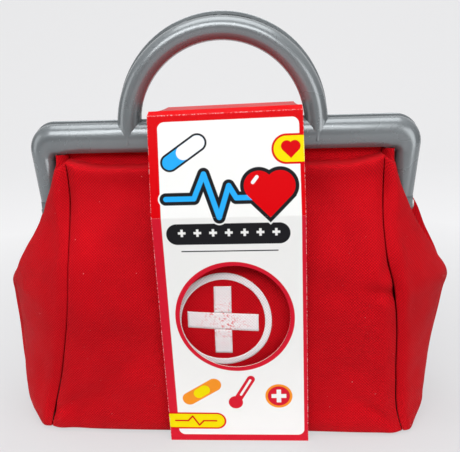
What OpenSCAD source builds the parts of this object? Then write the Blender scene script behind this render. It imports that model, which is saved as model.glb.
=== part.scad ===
// Toy doctor's bag: red cloth bag in a two-part moulded frame, with a card display sleeve.
// +Z up, +X right, the front faces -Y. The origin is the middle of the underside.

/* [Frame] */
// Width over the frame's arms
frame_w = 250; // [235:1:265]
// Height of the front bar's top edge above the table
bar_top = 200; // [196:1:206]
// Height of each bar's face
bar_h = 20.5; // [16:0.5:22]
// Front-to-back depth of one frame half
half_d = 9.5; // [8.5:0.5:11]
// Gap between the two closed halves
parting_gap = 1; // [0.6:0.1:2]
// Radius on the frame's long outer edges
edge_r = 6.5; // [4:0.5:7]
// Radius of the frame's outer corners
corner_r = 16; // [13:1:18]
// Width of an arm
arm_w = 14; // [10:0.5:15]
// How far the arms lean inward, in degrees
arm_lean = 5; // [2:0.5:7]
// How much higher the back bar stands than the front one
back_bar_rise = 1.5; // [0:0.5:3]

/* [Handles] */
// Outer radius of each arch handle
handle_r = 67; // [62:1:74]
// Width of the handle's face
handle_w = 14.5; // [12:0.5:17]
// Height of the front handle's centre below the bar's top edge
handle_sink = 4.5; // [2:0.5:8]
// How much higher the back handle stands than the front one
back_handle_rise = 3; // [0:0.5:4]
// Wall of the handle's hollow side
handle_wall = 2.2; // [1.6:0.1:3]
// Number of hollows between the handle's ribs
handle_cells = 8; // [5:1:12]
// Thickness of a rib in the handle, as an angle
rib_angle = 2; // [1:0.5:4]

/* [Hinge] */
// Height of the hinge line above the table
hinge_z = 143; // [138:1:148]
// Radius of the round ear at each arm's end
ear_r = 6; // [5:0.5:7]
// Width of each ear along the pin
ear_w = 5.2; // [4:0.2:5.4]
// Side gap between the two ears
ear_gap = 0.4; // [0.2:0.1:0.8]
// Radius of the hinge pin
pin_r = 2; // [1.5:0.1:2.6]
// Radial clearance of the pin in its ears
pin_clear = 0.05; // [0.03:0.01:0.1]
// Radius of the pin's heads
pin_head_r = 3.4; // [3:0.1:4.5]
// Thickness of the pin's heads
pin_head_t = 1.2; // [0.8:0.1:1.6]

/* [Cloth bag] */
// Thickness of the cloth with its backing
cloth_t = 1.6; // [1.2:0.1:2.2]
// Length of the base's front edge
base_front_w = 232; // [215:1:245]
// Length of the base from tip to tip
base_tip_w = 284; // [270:1:296]
// Depth of the base
base_d = 80; // [70:1:84]
// Width over the gusset folds at the belly
belly_w = 298; // [285:1:308]
// Depth from seam to seam at the belly
belly_d = 86; // [76:1:90]
// Width between the front seams at the waist
waist_w = 195; // [186:1:200]
// Width between the front seams under the bar
collar_w = 202; // [196:1:204]
// How far the front crowns between its seams
panel_crown = 3.6; // [1:0.2:5]
// Height of the widest line
belly_z = 97; // [90:1:104]
// Height where the gusset's single fold parts into two
part_z = 122; // [118:1:126]
// Height where the bending upper cloth begins
bend_z = 134; // [131:0.5:135]
// Thickness of the stiff board in the base
board_t = 2; // [1:0.2:3]

/* [Hem and retainer] */
// Depth of the slot in each bar, from the parting face
slot_d = 6.1; // [5.5:0.1:6.5]
// Height of the slot's roof below the bar's top edge
slot_roof = 4; // [3:0.5:5]
// Thickness of the retainer strip
retainer_t = 2.8; // [2:0.1:3.2]
// Half length of the retainer strip
retainer_half = 98; // [90:1:100]
// Number of screws in each strip
screw_n = 6; // [4:1:8]
// Radius of the screws
screw_r = 1.4; // [1:0.1:1.6]
// Gap between the stacked parts in the slot
slot_clear = 0.3; // [0.2:0.05:0.4]

/* [Print] */
// Outer radius of the printed ring
ring_r = 29.5; // [20:0.5:32]
// Width of the printed ring
ring_w = 4; // [2:0.5:6]
// Height of the emblem's centre
emblem_z = 82.5; // [74:0.5:92]
// Length of the printed cross's arms, tip to tip
cross_span = 43; // [26:1:46]
// Width of the cross's arms
cross_arm = 10.5; // [6:0.5:14]
// Thickness of the print
print_t = 0.3; // [0.2:0.05:0.5]

/* [Card sleeve] */
// Width of the sleeve
sleeve_w = 88; // [70:1:88]
// Thickness of the card
card_t = 0.6; // [0.4:0.1:1]
// Height of the creases at the sleeve's top edges
sleeve_h = 207; // [206:0.5:209]
// Height of the sleeve's flat top
sleeve_top = 209.5; // [209:0.5:212]
// Depth of the sleeve at its foot
sleeve_foot_d = 98.6; // [96:0.2:104]
// Depth of the sleeve at its side creases
sleeve_mid_d = 108.6; // [104:0.2:116]
// Depth of the sleeve at its top creases
sleeve_top_d = 84; // [80:1:90]
// Height of the creases across the front and back
crease_z = 149; // [146:1:154]
// Width of the small slopes at the top creases
slope_d = 6; // [3:0.5:8]
// Shift of the sleeve's top to the right
sleeve_shift = 2.2; // [0:0.1:2.4]
// Further shift of the sleeve's foot to the right
sleeve_lean = 5; // [0:0.5:8]
// Radius of the round window
window_r = 33; // [20:0.5:34]
// Height of the window's centre
window_z = 86.5; // [80:0.5:92]

/* [Hidden] */
$fn = 64;

plastic_grey = [0.47, 0.49, 0.5];
cloth_red = [0.75, 0.05, 0.1];
card_white = [0.91, 0.91, 0.9];

half_gap = parting_gap / 2;
face_y = half_gap + half_d;
bar_bottom = bar_top - bar_h;
corner_x = frame_w / 2 - corner_r;
corner_z = bar_top - corner_r;
corner_steps = 8;
inner_r = 3;
inner_z = bar_bottom - inner_r;
inner_x = corner_x
    + (corner_r - arm_w - inner_r + (inner_z - corner_z) * sin(arm_lean)) / cos(arm_lean);
// The ears share the arm's width at the hinge line
arm_outer = corner_x + corner_r / cos(arm_lean) - (corner_z - hinge_z) * tan(arm_lean);
// Room between a round ear and what swings past it
swing_gap = 0.9;
// Height of the arms' square ends, clear of the other half's ears
arm_end_z = hinge_z + ear_r + swing_gap;
// Least width of the flat between a bar's two rounded edges
flat_face = 1;
ear_split = arm_outer - ear_gap - ear_w;

// Hem, retainer and screws in the slot
slot_y = half_gap + slot_d;
hem_y = slot_y - slot_clear;
retainer_y = hem_y - cloth_t - slot_clear;
slot_top = bar_top - slot_roof;
hem_top = slot_top - slot_clear - 0.5;
slot_half = collar_w / 2 + 2;
screw_tip_y = face_y - 1;
screw_z = (slot_top + bar_bottom) / 2 + 1;
head_t = 1.2;
head_r = screw_r * 1.8;

// The bag stands on the card with this much room
bag_z = card_t + 0.2;
fold_round = 1.5;
pocket_x = arm_outer - arm_w - 1.4;
pocket_y = face_y + 0.6;
body_gap = 0.3;
// Height of the points between the base and the belly, as a share of the belly's height
low_share = 0.46;
low_z = belly_z * low_share;
// Height where the cloth stands neck_out off the frame, midway from hinge to bar
neck_z = (hinge_z + bar_bottom) / 2;
neck_out = 9;
collar_z = bar_bottom - 8;
// The cloth rolls in under the bar from roll_z up, in rows of points roll_step apart.
// At the first of them it stands roll_out off the frame.
roll_z = collar_z - 4;
roll_step = 3;
roll_out = 5;
// How far the seams draw in from the belly, front to back, at the waist and at the hinge
waist_in = 10;
hinge_in = 16;
// Height over the belly where a gusset's fold begins to part, and how far it draws in
fold_rise = 13;
fold_in = 14.5;

// Heights of the rows of points, shared along every seam
rows_low = [bag_z, 14, 28, low_z, 62, 80, belly_z, (belly_z + part_z) / 2, part_z,
    (part_z + bend_z) / 2, bend_z];
rows_high = concat([bend_z + body_gap], [for (k = [0:2]) mix(hinge_z, roll_z, k / 3)],
    [for (k = [0:3]) roll_z + k * roll_step]);
rows_hem = concat(rows_high, [bar_bottom + 1, hem_top]);
panel_columns = 12;

// Side outlines of the cloth: each pair is a height and a size there
seam_x_line = [[0, base_front_w / 2], [low_z, (base_front_w + waist_w) / 4],
    [belly_z, waist_w / 2 + 2.5], [part_z + 6, waist_w / 2], [hinge_z, waist_w / 2 + 0.5],
    [bar_bottom, collar_w / 2], [hem_top, collar_w / 2]];
seam_y_line = [[0, base_d / 2], [low_z, belly_d / 2], [belly_z, belly_d / 2 - 1.5],
    [part_z + 6, belly_d / 2 - waist_in], [hinge_z, belly_d / 2 - hinge_in],
    [neck_z, face_y + neck_out], [roll_z + roll_step, face_y + roll_out],
    [roll_z + 3 * roll_step, face_y + 0.6], [bar_bottom + 1, hem_y],
    [hem_top, hem_y]];
crown_line = [[0, panel_crown / 2], [low_z, panel_crown], [belly_z, panel_crown],
    [hinge_z, panel_crown * 0.7], [collar_z, panel_crown * 0.4], [bar_bottom, 0], [hem_top, 0]];
fold_x_line = [[0, base_tip_w / 2], [low_z, belly_w / 2 - 2], [belly_z, belly_w / 2],
    [part_z, belly_w / 2 - fold_in], [hinge_z, arm_outer + 0.4],
    [neck_z, arm_outer - 6.5], [bar_bottom - 2, collar_w / 2 + 6.5]];
fold_y_line = [[0, fold_round], [belly_z + fold_rise, fold_round], [part_z, 2 * fold_round],
    [bend_z, pocket_y + 0.9], [hinge_z, pocket_y + 1.8], [bar_bottom, pocket_y + 0.6]];

// Smooth curve through [height, size] pairs
function pair(line, i) = line[min(max(i, 0), len(line) - 1)];
function span(line, z, i = 0) =
    i >= len(line) - 2 || z < line[i + 1][0] ? i : span(line, z, i + 1);
function slope(a, b) = (b[1] - a[1]) / (b[0] - a[0]);
function hermite(a, b, slope_a, slope_b, s) =
    let (h = b[0] - a[0])
    a[1] * (1 + 2 * s) * pow(1 - s, 2) + b[1] * s * s * (3 - 2 * s)
    + h * (slope_a * s * pow(1 - s, 2) - slope_b * s * s * (1 - s));
function curve(line, z) =
    let (i = span(line, z), a = pair(line, i), b = pair(line, i + 1))
    let (slope_a = slope(pair(line, i - 1), b), slope_b = slope(a, pair(line, i + 2)))
    hermite(a, b, slope_a, slope_b, (z - a[0]) / (b[0] - a[0]));

function mix(a, b, s) = a + (b - a) * s;

// Front right seam, moved into the bag by inset
function seam_point(z, inset) =
    [curve(seam_x_line, z) - inset * 0.55, -curve(seam_y_line, z) + inset * 0.9, z];

// Point on the front: u runs from -1 at the left seam to 1 at the right seam
function front_point(u, z, inset) =
    let (s = seam_point(z, inset), crown = curve(crown_line, z))
    [s[0] * u, s[1] - (crown + inset * 0.1) * (1 - u * u), z];

// Outer points of the gusset's front half, from the seam to the pocket behind the fold
function fold_point(z) = [curve(fold_x_line, z), -curve(fold_y_line, z), z];
function pocket_share(z) = max(0, min(1, (z - part_z) / (bend_z - part_z)));
function turn_point(z) =
    let (f = fold_point(z), s = pocket_share(z))
    [mix(f[0] + 0.4, pocket_x, s), mix(f[1] * 0.5, -pocket_y, s), z];
function tuck_point(z) = [mix(fold_point(z)[0] + 0.6, pocket_x, pocket_share(z)), 0, z];
function gusset_half(z) =
    let (s = seam_point(z, 0), f = fold_point(z), m = (s + f) / 2)
    [s, m + [1, -1, 0] * fold_round, f, turn_point(z), tuck_point(z)];
// The inner side runs straight from the seam to the tuck
function gusset_half_in(z) =
    let (s = seam_point(z, cloth_t), t = tuck_point(z) - [cloth_t + fold_round, 0, 0])
    [for (k = [0, 0.4, 0.75, 0.9, 1]) mix(s, t, k)];
function with_back(half) =
    concat(half, [for (k = [3:-1:0]) [half[k][0], -half[k][1], half[k][2]]]);

// Upper gusset: a layer in front of the arm, folded back at the fold line
function upper_turn(z) =
    [min(fold_point(z)[0] - 0.8, pocket_x + (z - hinge_z) * tan(arm_lean)), -pocket_y, z];
function upper_gusset(z) =
    let (s = seam_point(z, 0), f = fold_point(z))
    [s, (s + f) / 2 + [1, -1, 0] * fold_round / 2, f, upper_turn(z)];
function upper_gusset_in(z) =
    let (s = seam_point(z, cloth_t), t = upper_turn(z) - [cloth_t, 0, 0])
    [for (k = [0, 0.4, 0.75, 1]) mix(s, t, k)];

function sleeve_x(z) = sleeve_shift + sleeve_lean * (1 - z / sleeve_h);

// Closed solid between an outer and an inner grid of points, both [row][column]
module sheet(outer, inner) {
    rows = len(outer);
    cols = len(outer[0]);
    inner_start = rows * cols;
    last = rows - 1;
    points = concat([for (row = outer) each row], [for (row = inner) each row]);
    skins = [for (i = [0:rows - 2], j = [0:cols - 2])
        let (a = i * cols + j, b = a + 1, c = b + cols, d = a + cols)
        each [
            [a, d, c], [a, c, b],
            [inner_start + a, inner_start + c, inner_start + d],
            [inner_start + a, inner_start + b, inner_start + c]
        ]];
    ends = [for (j = [0:cols - 2])
        let (a = j, b = j + 1, d = last * cols + j, c = d + 1)
        each [
            [a, b, inner_start + b], [a, inner_start + b, inner_start + a],
            [c, d, inner_start + d], [c, inner_start + d, inner_start + c]
        ]];
    sides = [for (i = [0:rows - 2])
        let (a = i * cols, d = a + cols, b = a + cols - 1, c = b + cols)
        each [
            [d, a, inner_start + a], [d, inner_start + a, inner_start + d],
            [b, c, inner_start + c], [b, inner_start + c, inner_start + b]
        ]];
    polyhedron(points, concat(skins, ends, sides), convexity = 6);
}

function front_grid(rows, inset) =
    [for (z = rows) [for (j = [0:panel_columns]) front_point(2 * j / panel_columns - 1, z, inset)]];

// Half of a rounded bar: u runs across it, v runs from the parting face to the front
function half_profile(w) =
    let (r = min(edge_r, w / 2 - flat_face / 2))
    concat([[0, 0], [w, 0]],
        [for (a = [0:15:90]) [w - r + r * cos(a), half_d - r + r * sin(a)]],
        [for (a = [90:15:180]) [r + r * cos(a), half_d - r + r * sin(a)]]);

// Each rib of the rail is an outer and an inner [x, z] point, from mid bar to the arm's end
function arm_edge(across, rise) =
    corner_x + (corner_r - across) / cos(arm_lean)
    - (corner_z + rise - arm_end_z) * tan(arm_lean);
function polar(centre, r, a) = centre + r * [cos(a), sin(a)];
function half_ribs(rise) = concat(
    [for (k = [0:corner_steps])
        let (a = 90 - k * (90 + arm_lean) / corner_steps)
        [polar([corner_x, corner_z + rise], corner_r, a),
            polar([inner_x, inner_z + rise], inner_r, a)]],
    [[[arm_edge(0, rise), arm_end_z], [arm_edge(arm_w, rise), arm_end_z]]]);
function mirrored(rib) = [for (p = rib) [-p[0], p[1]]];
function rail_ribs(rise) =
    let (right = half_ribs(rise), n = len(right))
    concat([for (k = [n - 1:-1:0]) mirrored(right[k])], right);
function rib_points(rib) =
    let (w = norm(rib[1] - rib[0]))
    [for (p = half_profile(w))
        let (q = mix(rib[0], rib[1], p[0] / w)) [q[0], -half_gap - p[1], q[1]]];

// Turns a shape drawn in X and Y about the -Y axis through [x, z] on the parting face
module facing_front(x, z) {
    translate([x, -half_gap, z]) rotate([90, 0, 0]) children();
}

// Bar, rounded corners and leaning arms in one run
module rail(rise) {
    ribs = rail_ribs(rise);
    rings = [for (rib = ribs) rib_points(rib)];
    count = len(rings[0]);
    last = (len(rings) - 1) * count;
    sides = [for (k = [0:len(rings) - 2], i = [0:count - 1])
        let (a = k * count + i, b = k * count + (i + 1) % count, c = b + count, d = a + count)
        each [[a, b, c], [a, c, d]]];
    caps = [[for (i = [count - 1:-1:0]) i], [for (i = [0:count - 1]) last + i]];
    polyhedron([for (ring = rings) each ring], concat(sides, caps), convexity = 6);
}

module handle(rise) {
    handle_in = handle_r - handle_w;
    cell_angle = 156 / handle_cells;
    facing_front(0, bar_top - handle_sink + rise) difference() {
        rotate_extrude(angle = 180) translate([handle_in, 0]) polygon(half_profile(handle_w));
        for (i = [0:handle_cells - 1])
            rotate([0, 0, 12 + i * cell_angle + rib_angle / 2])
                rotate_extrude(angle = cell_angle - rib_angle)
                translate([handle_in + handle_wall, -1])
                square([handle_w - 2 * handle_wall, half_d - handle_wall + 1]);
    }
}

module cross_pin(x, length, r) {
    translate([x, 0, hinge_z]) rotate([0, 90, 0]) cylinder(h = length, r = r);
}

// One frame half facing -Y, without its ears
module frame_half(bar_rise, handle_rise) {
    difference() {
        union() {
            rail(bar_rise);
            handle(handle_rise);
        }
        translate([-slot_half, -slot_y, bar_bottom - bar_h])
            cube([2 * slot_half, slot_y + bar_h, slot_top - bar_bottom + bar_h]);
        screws_at() cylinder(h = screw_tip_y, r = screw_r + pin_clear);
    }
}

// The round ears under both arms of a half, from ear_x outwards, each bored for its pin
module hinge_ears(ear_x) {
    for (side = [0, 1]) mirror([side, 0, 0]) difference() {
        union() {
            cross_pin(ear_x, ear_w, ear_r);
            translate([ear_x, -ear_r, hinge_z]) cube([ear_w, ear_r - half_gap, arm_end_z - hinge_z]);
        }
        cross_pin(ear_x - ear_w, 3 * ear_w, pin_r + pin_clear);
    }
}

// Places its children at each screw, pointing from the parting plane to the front
module screws_at() {
    pitch = 2 * (retainer_half - 8) / (screw_n - 1);
    for (i = [0:screw_n - 1])
        translate([i * pitch - (screw_n - 1) * pitch / 2, 0, screw_z]) rotate([90, 0, 0]) children();
}

module screw() {
    head_y = retainer_y - retainer_t;
    translate([0, 0, head_y]) cylinder(h = screw_tip_y - 0.3 - head_y, r = screw_r);
    translate([0, 0, head_y]) cylinder(h = head_t, r1 = head_r, r2 = screw_r);
}

module retainer() {
    difference() {
        translate([-retainer_half, -retainer_y, bar_bottom + 2.5])
            cube([2 * retainer_half, retainer_t, slot_top - bar_bottom - 3]);
        screws_at() {
            cylinder(h = screw_tip_y, r = screw_r + pin_clear);
            translate([0, 0, retainer_y - retainer_t - pin_clear])
                cylinder(h = head_t + pin_clear, r1 = head_r + pin_clear, r2 = screw_r + pin_clear);
        }
    }
}

module panel_upper() {
    difference() {
        sheet(front_grid(rows_hem, 0), front_grid(rows_hem, cloth_t));
        screws_at() cylinder(h = screw_tip_y, r = screw_r + pin_clear);
    }
}

module panel_lower() {
    sheet(front_grid(rows_low, 0), front_grid(rows_low, cloth_t));
}

module gusset_lower() {
    sheet([for (z = rows_low) with_back(gusset_half(z))],
        [for (z = rows_low) with_back(gusset_half_in(z))]);
}

module gusset_upper() {
    sheet([for (z = rows_high) upper_gusset(z)], [for (z = rows_high) upper_gusset_in(z)]);
}

// Outline of the bag's inside at the base, drawn in from the walls by room
function base_outline(room) =
    let (s = seam_point(bag_z, cloth_t + room), t = base_tip_w / 2 - 1.6 * (cloth_t + room))
    [[s[0], s[1]], [t, 0], [s[0], -s[1]], [-s[0], -s[1]], [-t, 0], [-s[0], s[1]]];

module front_frame() {
    color(plastic_grey) frame_half(0, 0);
}
module back_frame() {
    color(plastic_grey) mirror([0, 1, 0]) frame_half(back_bar_rise, back_handle_rise);
}
module front_hinge_ears() {
    color(plastic_grey) hinge_ears(arm_outer - ear_w);
}
module back_hinge_ears() {
    color(plastic_grey) mirror([0, 1, 0]) hinge_ears(ear_split - ear_w);
}
module front_retainer() {
    color("dimgray") retainer();
}
module back_retainer() {
    color("dimgray") mirror([0, 1, 0]) retainer();
}
module front_retainer_screws() {
    color("silver") screws_at() screw();
}
module back_retainer_screws() {
    color("silver") mirror([0, 1, 0]) screws_at() screw();
}

module hinge_pin() {
    pin_start = ear_split - ear_w - ear_gap;
    pin_end = arm_outer + ear_gap;
    cross_pin(pin_start, pin_end - pin_start, pin_r);
    cross_pin(pin_end, pin_head_t, pin_head_r);
    cross_pin(pin_start - pin_head_t, pin_head_t, pin_head_r);
}
module right_hinge_pin() {
    color("silver") hinge_pin();
}
module left_hinge_pin() {
    color("silver") mirror([1, 0, 0]) hinge_pin();
}

module front_panel_lower() {
    color(cloth_red) panel_lower();
}
module front_panel_upper() {
    color(cloth_red) panel_upper();
}
module back_panel_lower() {
    color(cloth_red) mirror([0, 1, 0]) panel_lower();
}
module back_panel_upper() {
    color(cloth_red) mirror([0, 1, 0]) panel_upper();
}
module right_gusset_lower() {
    color(cloth_red) gusset_lower();
}
module left_gusset_lower() {
    color(cloth_red) mirror([1, 0, 0]) gusset_lower();
}
module right_gusset_front_upper() {
    color(cloth_red) gusset_upper();
}
module left_gusset_front_upper() {
    color(cloth_red) mirror([1, 0, 0]) gusset_upper();
}
module right_gusset_back_upper() {
    color(cloth_red) mirror([0, 1, 0]) gusset_upper();
}
module left_gusset_back_upper() {
    color(cloth_red) mirror([1, 0, 0]) mirror([0, 1, 0]) gusset_upper();
}
module base_panel() {
    color(cloth_red) translate([0, 0, bag_z]) linear_extrude(cloth_t) polygon(base_outline(0.3));
}
module base_board() {
    color("tan") translate([0, 0, bag_z + cloth_t + 0.1])
        linear_extrude(board_t) polygon(base_outline(1.5));
}

module emblem_print() {
    color("white") intersection() {
        sheet(front_grid(rows_low, -print_t - 0.05), front_grid(rows_low, -0.05));
        translate([0, 0, emblem_z]) rotate([90, 0, 0]) linear_extrude(base_d) {
            difference() {
                circle(r = ring_r);
                circle(r = ring_r - ring_w);
            }
            square([cross_span, cross_arm], center = true);
            square([cross_arm, cross_span], center = true);
        }
    }
}

// Outer outline of the sleeve as [y, z], up the front, over the top and down the back
front_outline = [[-sleeve_foot_d / 2, 0], [-sleeve_mid_d / 2, crease_z],
    [-sleeve_top_d / 2, sleeve_h], [slope_d - sleeve_top_d / 2, sleeve_top]];
outline = concat(front_outline, [for (k = [3:-1:0]) [-front_outline[k][0], front_outline[k][1]]]);
// Corners of the outline where one panel ends and the next one starts
front_foot = 0;
front_brow = 2;
back_brow = 5;
back_foot = 7;

// Inner outline: the corners of the outer one, moved in by the card's thickness
function outline_at(k) = outline[(k + len(outline)) % len(outline)];
function inward(a, b) = [b[1] - a[1], a[0] - b[0]] / norm(b - a);
function inner_at(k) =
    let (n = inward(outline_at(k - 1), outline_at(k)), m = inward(outline_at(k), outline_at(k + 1)))
    outline_at(k) + card_t * (n + m) / (1 + n * m);
function across(p) =
    [for (side = [-1, 1]) [sleeve_x(p[1]) + side * sleeve_w / 2, p[0], p[1]]];

// The sleeve's card from one corner of its outline to another
module card(from, to) {
    color(card_white) sheet([for (k = [from:to]) across(outline_at(k))],
        [for (k = [from:to]) across(inner_at(k))]);
}
module sleeve_front() {
    color(card_white) difference() {
        card(front_foot, front_brow);
        translate([sleeve_x(window_z), 0, window_z]) rotate([90, 0, 0])
            cylinder(h = sleeve_mid_d, r = window_r);
    }
}
module sleeve_top() {
    card(front_brow, back_brow);
}
module sleeve_back() {
    card(back_brow, back_foot);
}
module sleeve_bottom() {
    card(back_foot, back_foot + 1);
}

front_frame();
back_frame();
front_hinge_ears();
back_hinge_ears();
front_retainer();
back_retainer();
front_retainer_screws();
back_retainer_screws();
left_hinge_pin();
right_hinge_pin();
front_panel_lower();
front_panel_upper();
back_panel_lower();
back_panel_upper();
left_gusset_lower();
left_gusset_front_upper();
left_gusset_back_upper();
right_gusset_lower();
right_gusset_front_upper();
right_gusset_back_upper();
base_panel();
base_board();
emblem_print();
sleeve_front();
sleeve_top();
sleeve_back();
sleeve_bottom();
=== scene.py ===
"""Toy doctor bag: red cloth hung in a grey two-part frame, with a card display sleeve.

Sizes are in millimetres, in the CAD model's frame: X to the right, Y away from the
camera, Z up from the floor. A piece is scaled to metres once, when it becomes an object.
"""
from __future__ import annotations

import logging
import math
from dataclasses import dataclass, field
from enum import Enum
from typing import Any, Sequence

import bmesh
import bpy
import numpy as np
from mathutils import Matrix, Vector, noise
from mathutils.bvhtree import BVHTree

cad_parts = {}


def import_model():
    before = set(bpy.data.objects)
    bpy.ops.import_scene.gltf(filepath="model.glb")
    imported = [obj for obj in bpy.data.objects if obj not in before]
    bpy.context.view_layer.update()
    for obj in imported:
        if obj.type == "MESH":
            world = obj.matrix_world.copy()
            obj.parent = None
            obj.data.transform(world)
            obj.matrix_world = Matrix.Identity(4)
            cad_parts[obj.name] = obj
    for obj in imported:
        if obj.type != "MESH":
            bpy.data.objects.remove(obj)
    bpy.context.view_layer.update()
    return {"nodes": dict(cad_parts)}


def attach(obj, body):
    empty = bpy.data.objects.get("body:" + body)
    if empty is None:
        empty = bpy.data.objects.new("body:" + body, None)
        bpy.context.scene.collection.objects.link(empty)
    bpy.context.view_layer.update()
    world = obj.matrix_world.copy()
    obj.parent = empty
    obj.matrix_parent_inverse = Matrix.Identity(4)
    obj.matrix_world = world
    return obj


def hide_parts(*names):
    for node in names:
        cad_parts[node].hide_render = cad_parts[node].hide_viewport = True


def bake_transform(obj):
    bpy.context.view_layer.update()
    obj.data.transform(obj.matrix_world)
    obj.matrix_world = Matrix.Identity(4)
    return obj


log = logging.getLogger("toy_bag")

MM = 0.001
PHOTO_WIDTH = 460
EMBLEM_Z = 82.5
CARD_W = 88.0
WINDOW = (1.0, 86.6, 33.0)  # middle across and up the card, and radius

Point = tuple[float, ...]
Knots = tuple[tuple[float, float], ...]
Colour = tuple[float, float, float]
Layer = tuple[Colour, "Wire", float]


class Side(Enum):
    """Which half of the bag a piece belongs to, with the sign of its Y."""

    FRONT = -1
    BACK = 1

    @property
    def word(self) -> str:
        """The half's name as it stands in the CAD nodes."""
        return self.name.lower()

    @property
    def body(self) -> str:
        """The body that this half of the frame rides on."""
        return f"{self.word}_frame"


class Hand(Enum):
    """Left or right end of the bag, with the sign of its X."""

    LEFT = -1
    RIGHT = 1

    @property
    def word(self) -> str:
        """The end's name as it stands in the CAD nodes."""
        return self.name.lower()


class Combining(Enum):
    """What is done with a second solid, under the modifier's own words."""

    JOIN = "UNION"
    CUT = "DIFFERENCE"


# ---------------------------------------------------------------- curves and meshes


def smooth_step(low: float, high: float, values: np.ndarray) -> np.ndarray:
    """Rises smoothly from 0 at low to 1 at high.

    Args:
        low: Where the rise starts.
        high: Where it ends.
        values: The places to work it out at.

    Returns:
        The height of the rise at each place.
    """
    share = np.clip((values - low) / (high - low), 0, 1)
    return share * share * (3 - 2 * share)


def through(knots: Knots, places: np.ndarray) -> np.ndarray:
    """A smooth curve through knots, level beyond the first and the last.

    Args:
        knots: Pairs of a place and a value, in rising order of place.
        places: Where to read the curve.

    Returns:
        The curve's value at each place.
    """
    at = np.array([knot[0] for knot in knots])
    value = np.array([knot[1] for knot in knots])
    slope = np.gradient(value, at)
    places = np.clip(places, at[0], at[-1])
    index = np.clip(np.searchsorted(at, places, side="right") - 1, 0, len(at) - 2)
    span = at[index + 1] - at[index]
    t = (places - at[index]) / span
    start = value[index] * (1 + 2 * t) * (1 - t) ** 2 + slope[index] * span * t * (1 - t) ** 2
    end = value[index + 1] * t * t * (3 - 2 * t) + slope[index + 1] * span * t * t * (t - 1)
    return start + end


def bezier(corners: Sequence[np.ndarray], t: np.ndarray) -> np.ndarray:
    """Points along one cubic Bezier curve.

    Args:
        corners: Its four control points.
        t: Shares of the way along it.

    Returns:
        One row of coordinates for each share.
    """
    a, b, c, d = (np.asarray(corner, float) for corner in corners)
    t = t[:, None]
    return a * (1 - t) ** 3 + 3 * b * t * (1 - t) ** 2 + 3 * c * t * t * (1 - t) + d * t**3


def arc(centre: Point, radius: float, start: float, end: float, steps: int) -> list[Point]:
    """Points on an arc in X and Z.

    Args:
        centre: X and Z of its centre.
        radius: Its radius.
        start: First angle in degrees, counted from +X towards +Z.
        end: Last angle in degrees.
        steps: Number of equal steps.

    Returns:
        The points, both ends included.
    """
    turns = [math.radians(start + (end - start) * k / steps) for k in range(steps + 1)]
    return [(centre[0] + radius * math.cos(a), centre[1] + radius * math.sin(a)) for a in turns]


def walked(path: np.ndarray) -> np.ndarray:
    """The length walked along a path.

    Args:
        path: Its points, one row of coordinates each.

    Returns:
        The length from its first point to each point.
    """
    return np.concatenate([[0], np.cumsum(np.hypot(*np.diff(path, axis=0).T))])


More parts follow.
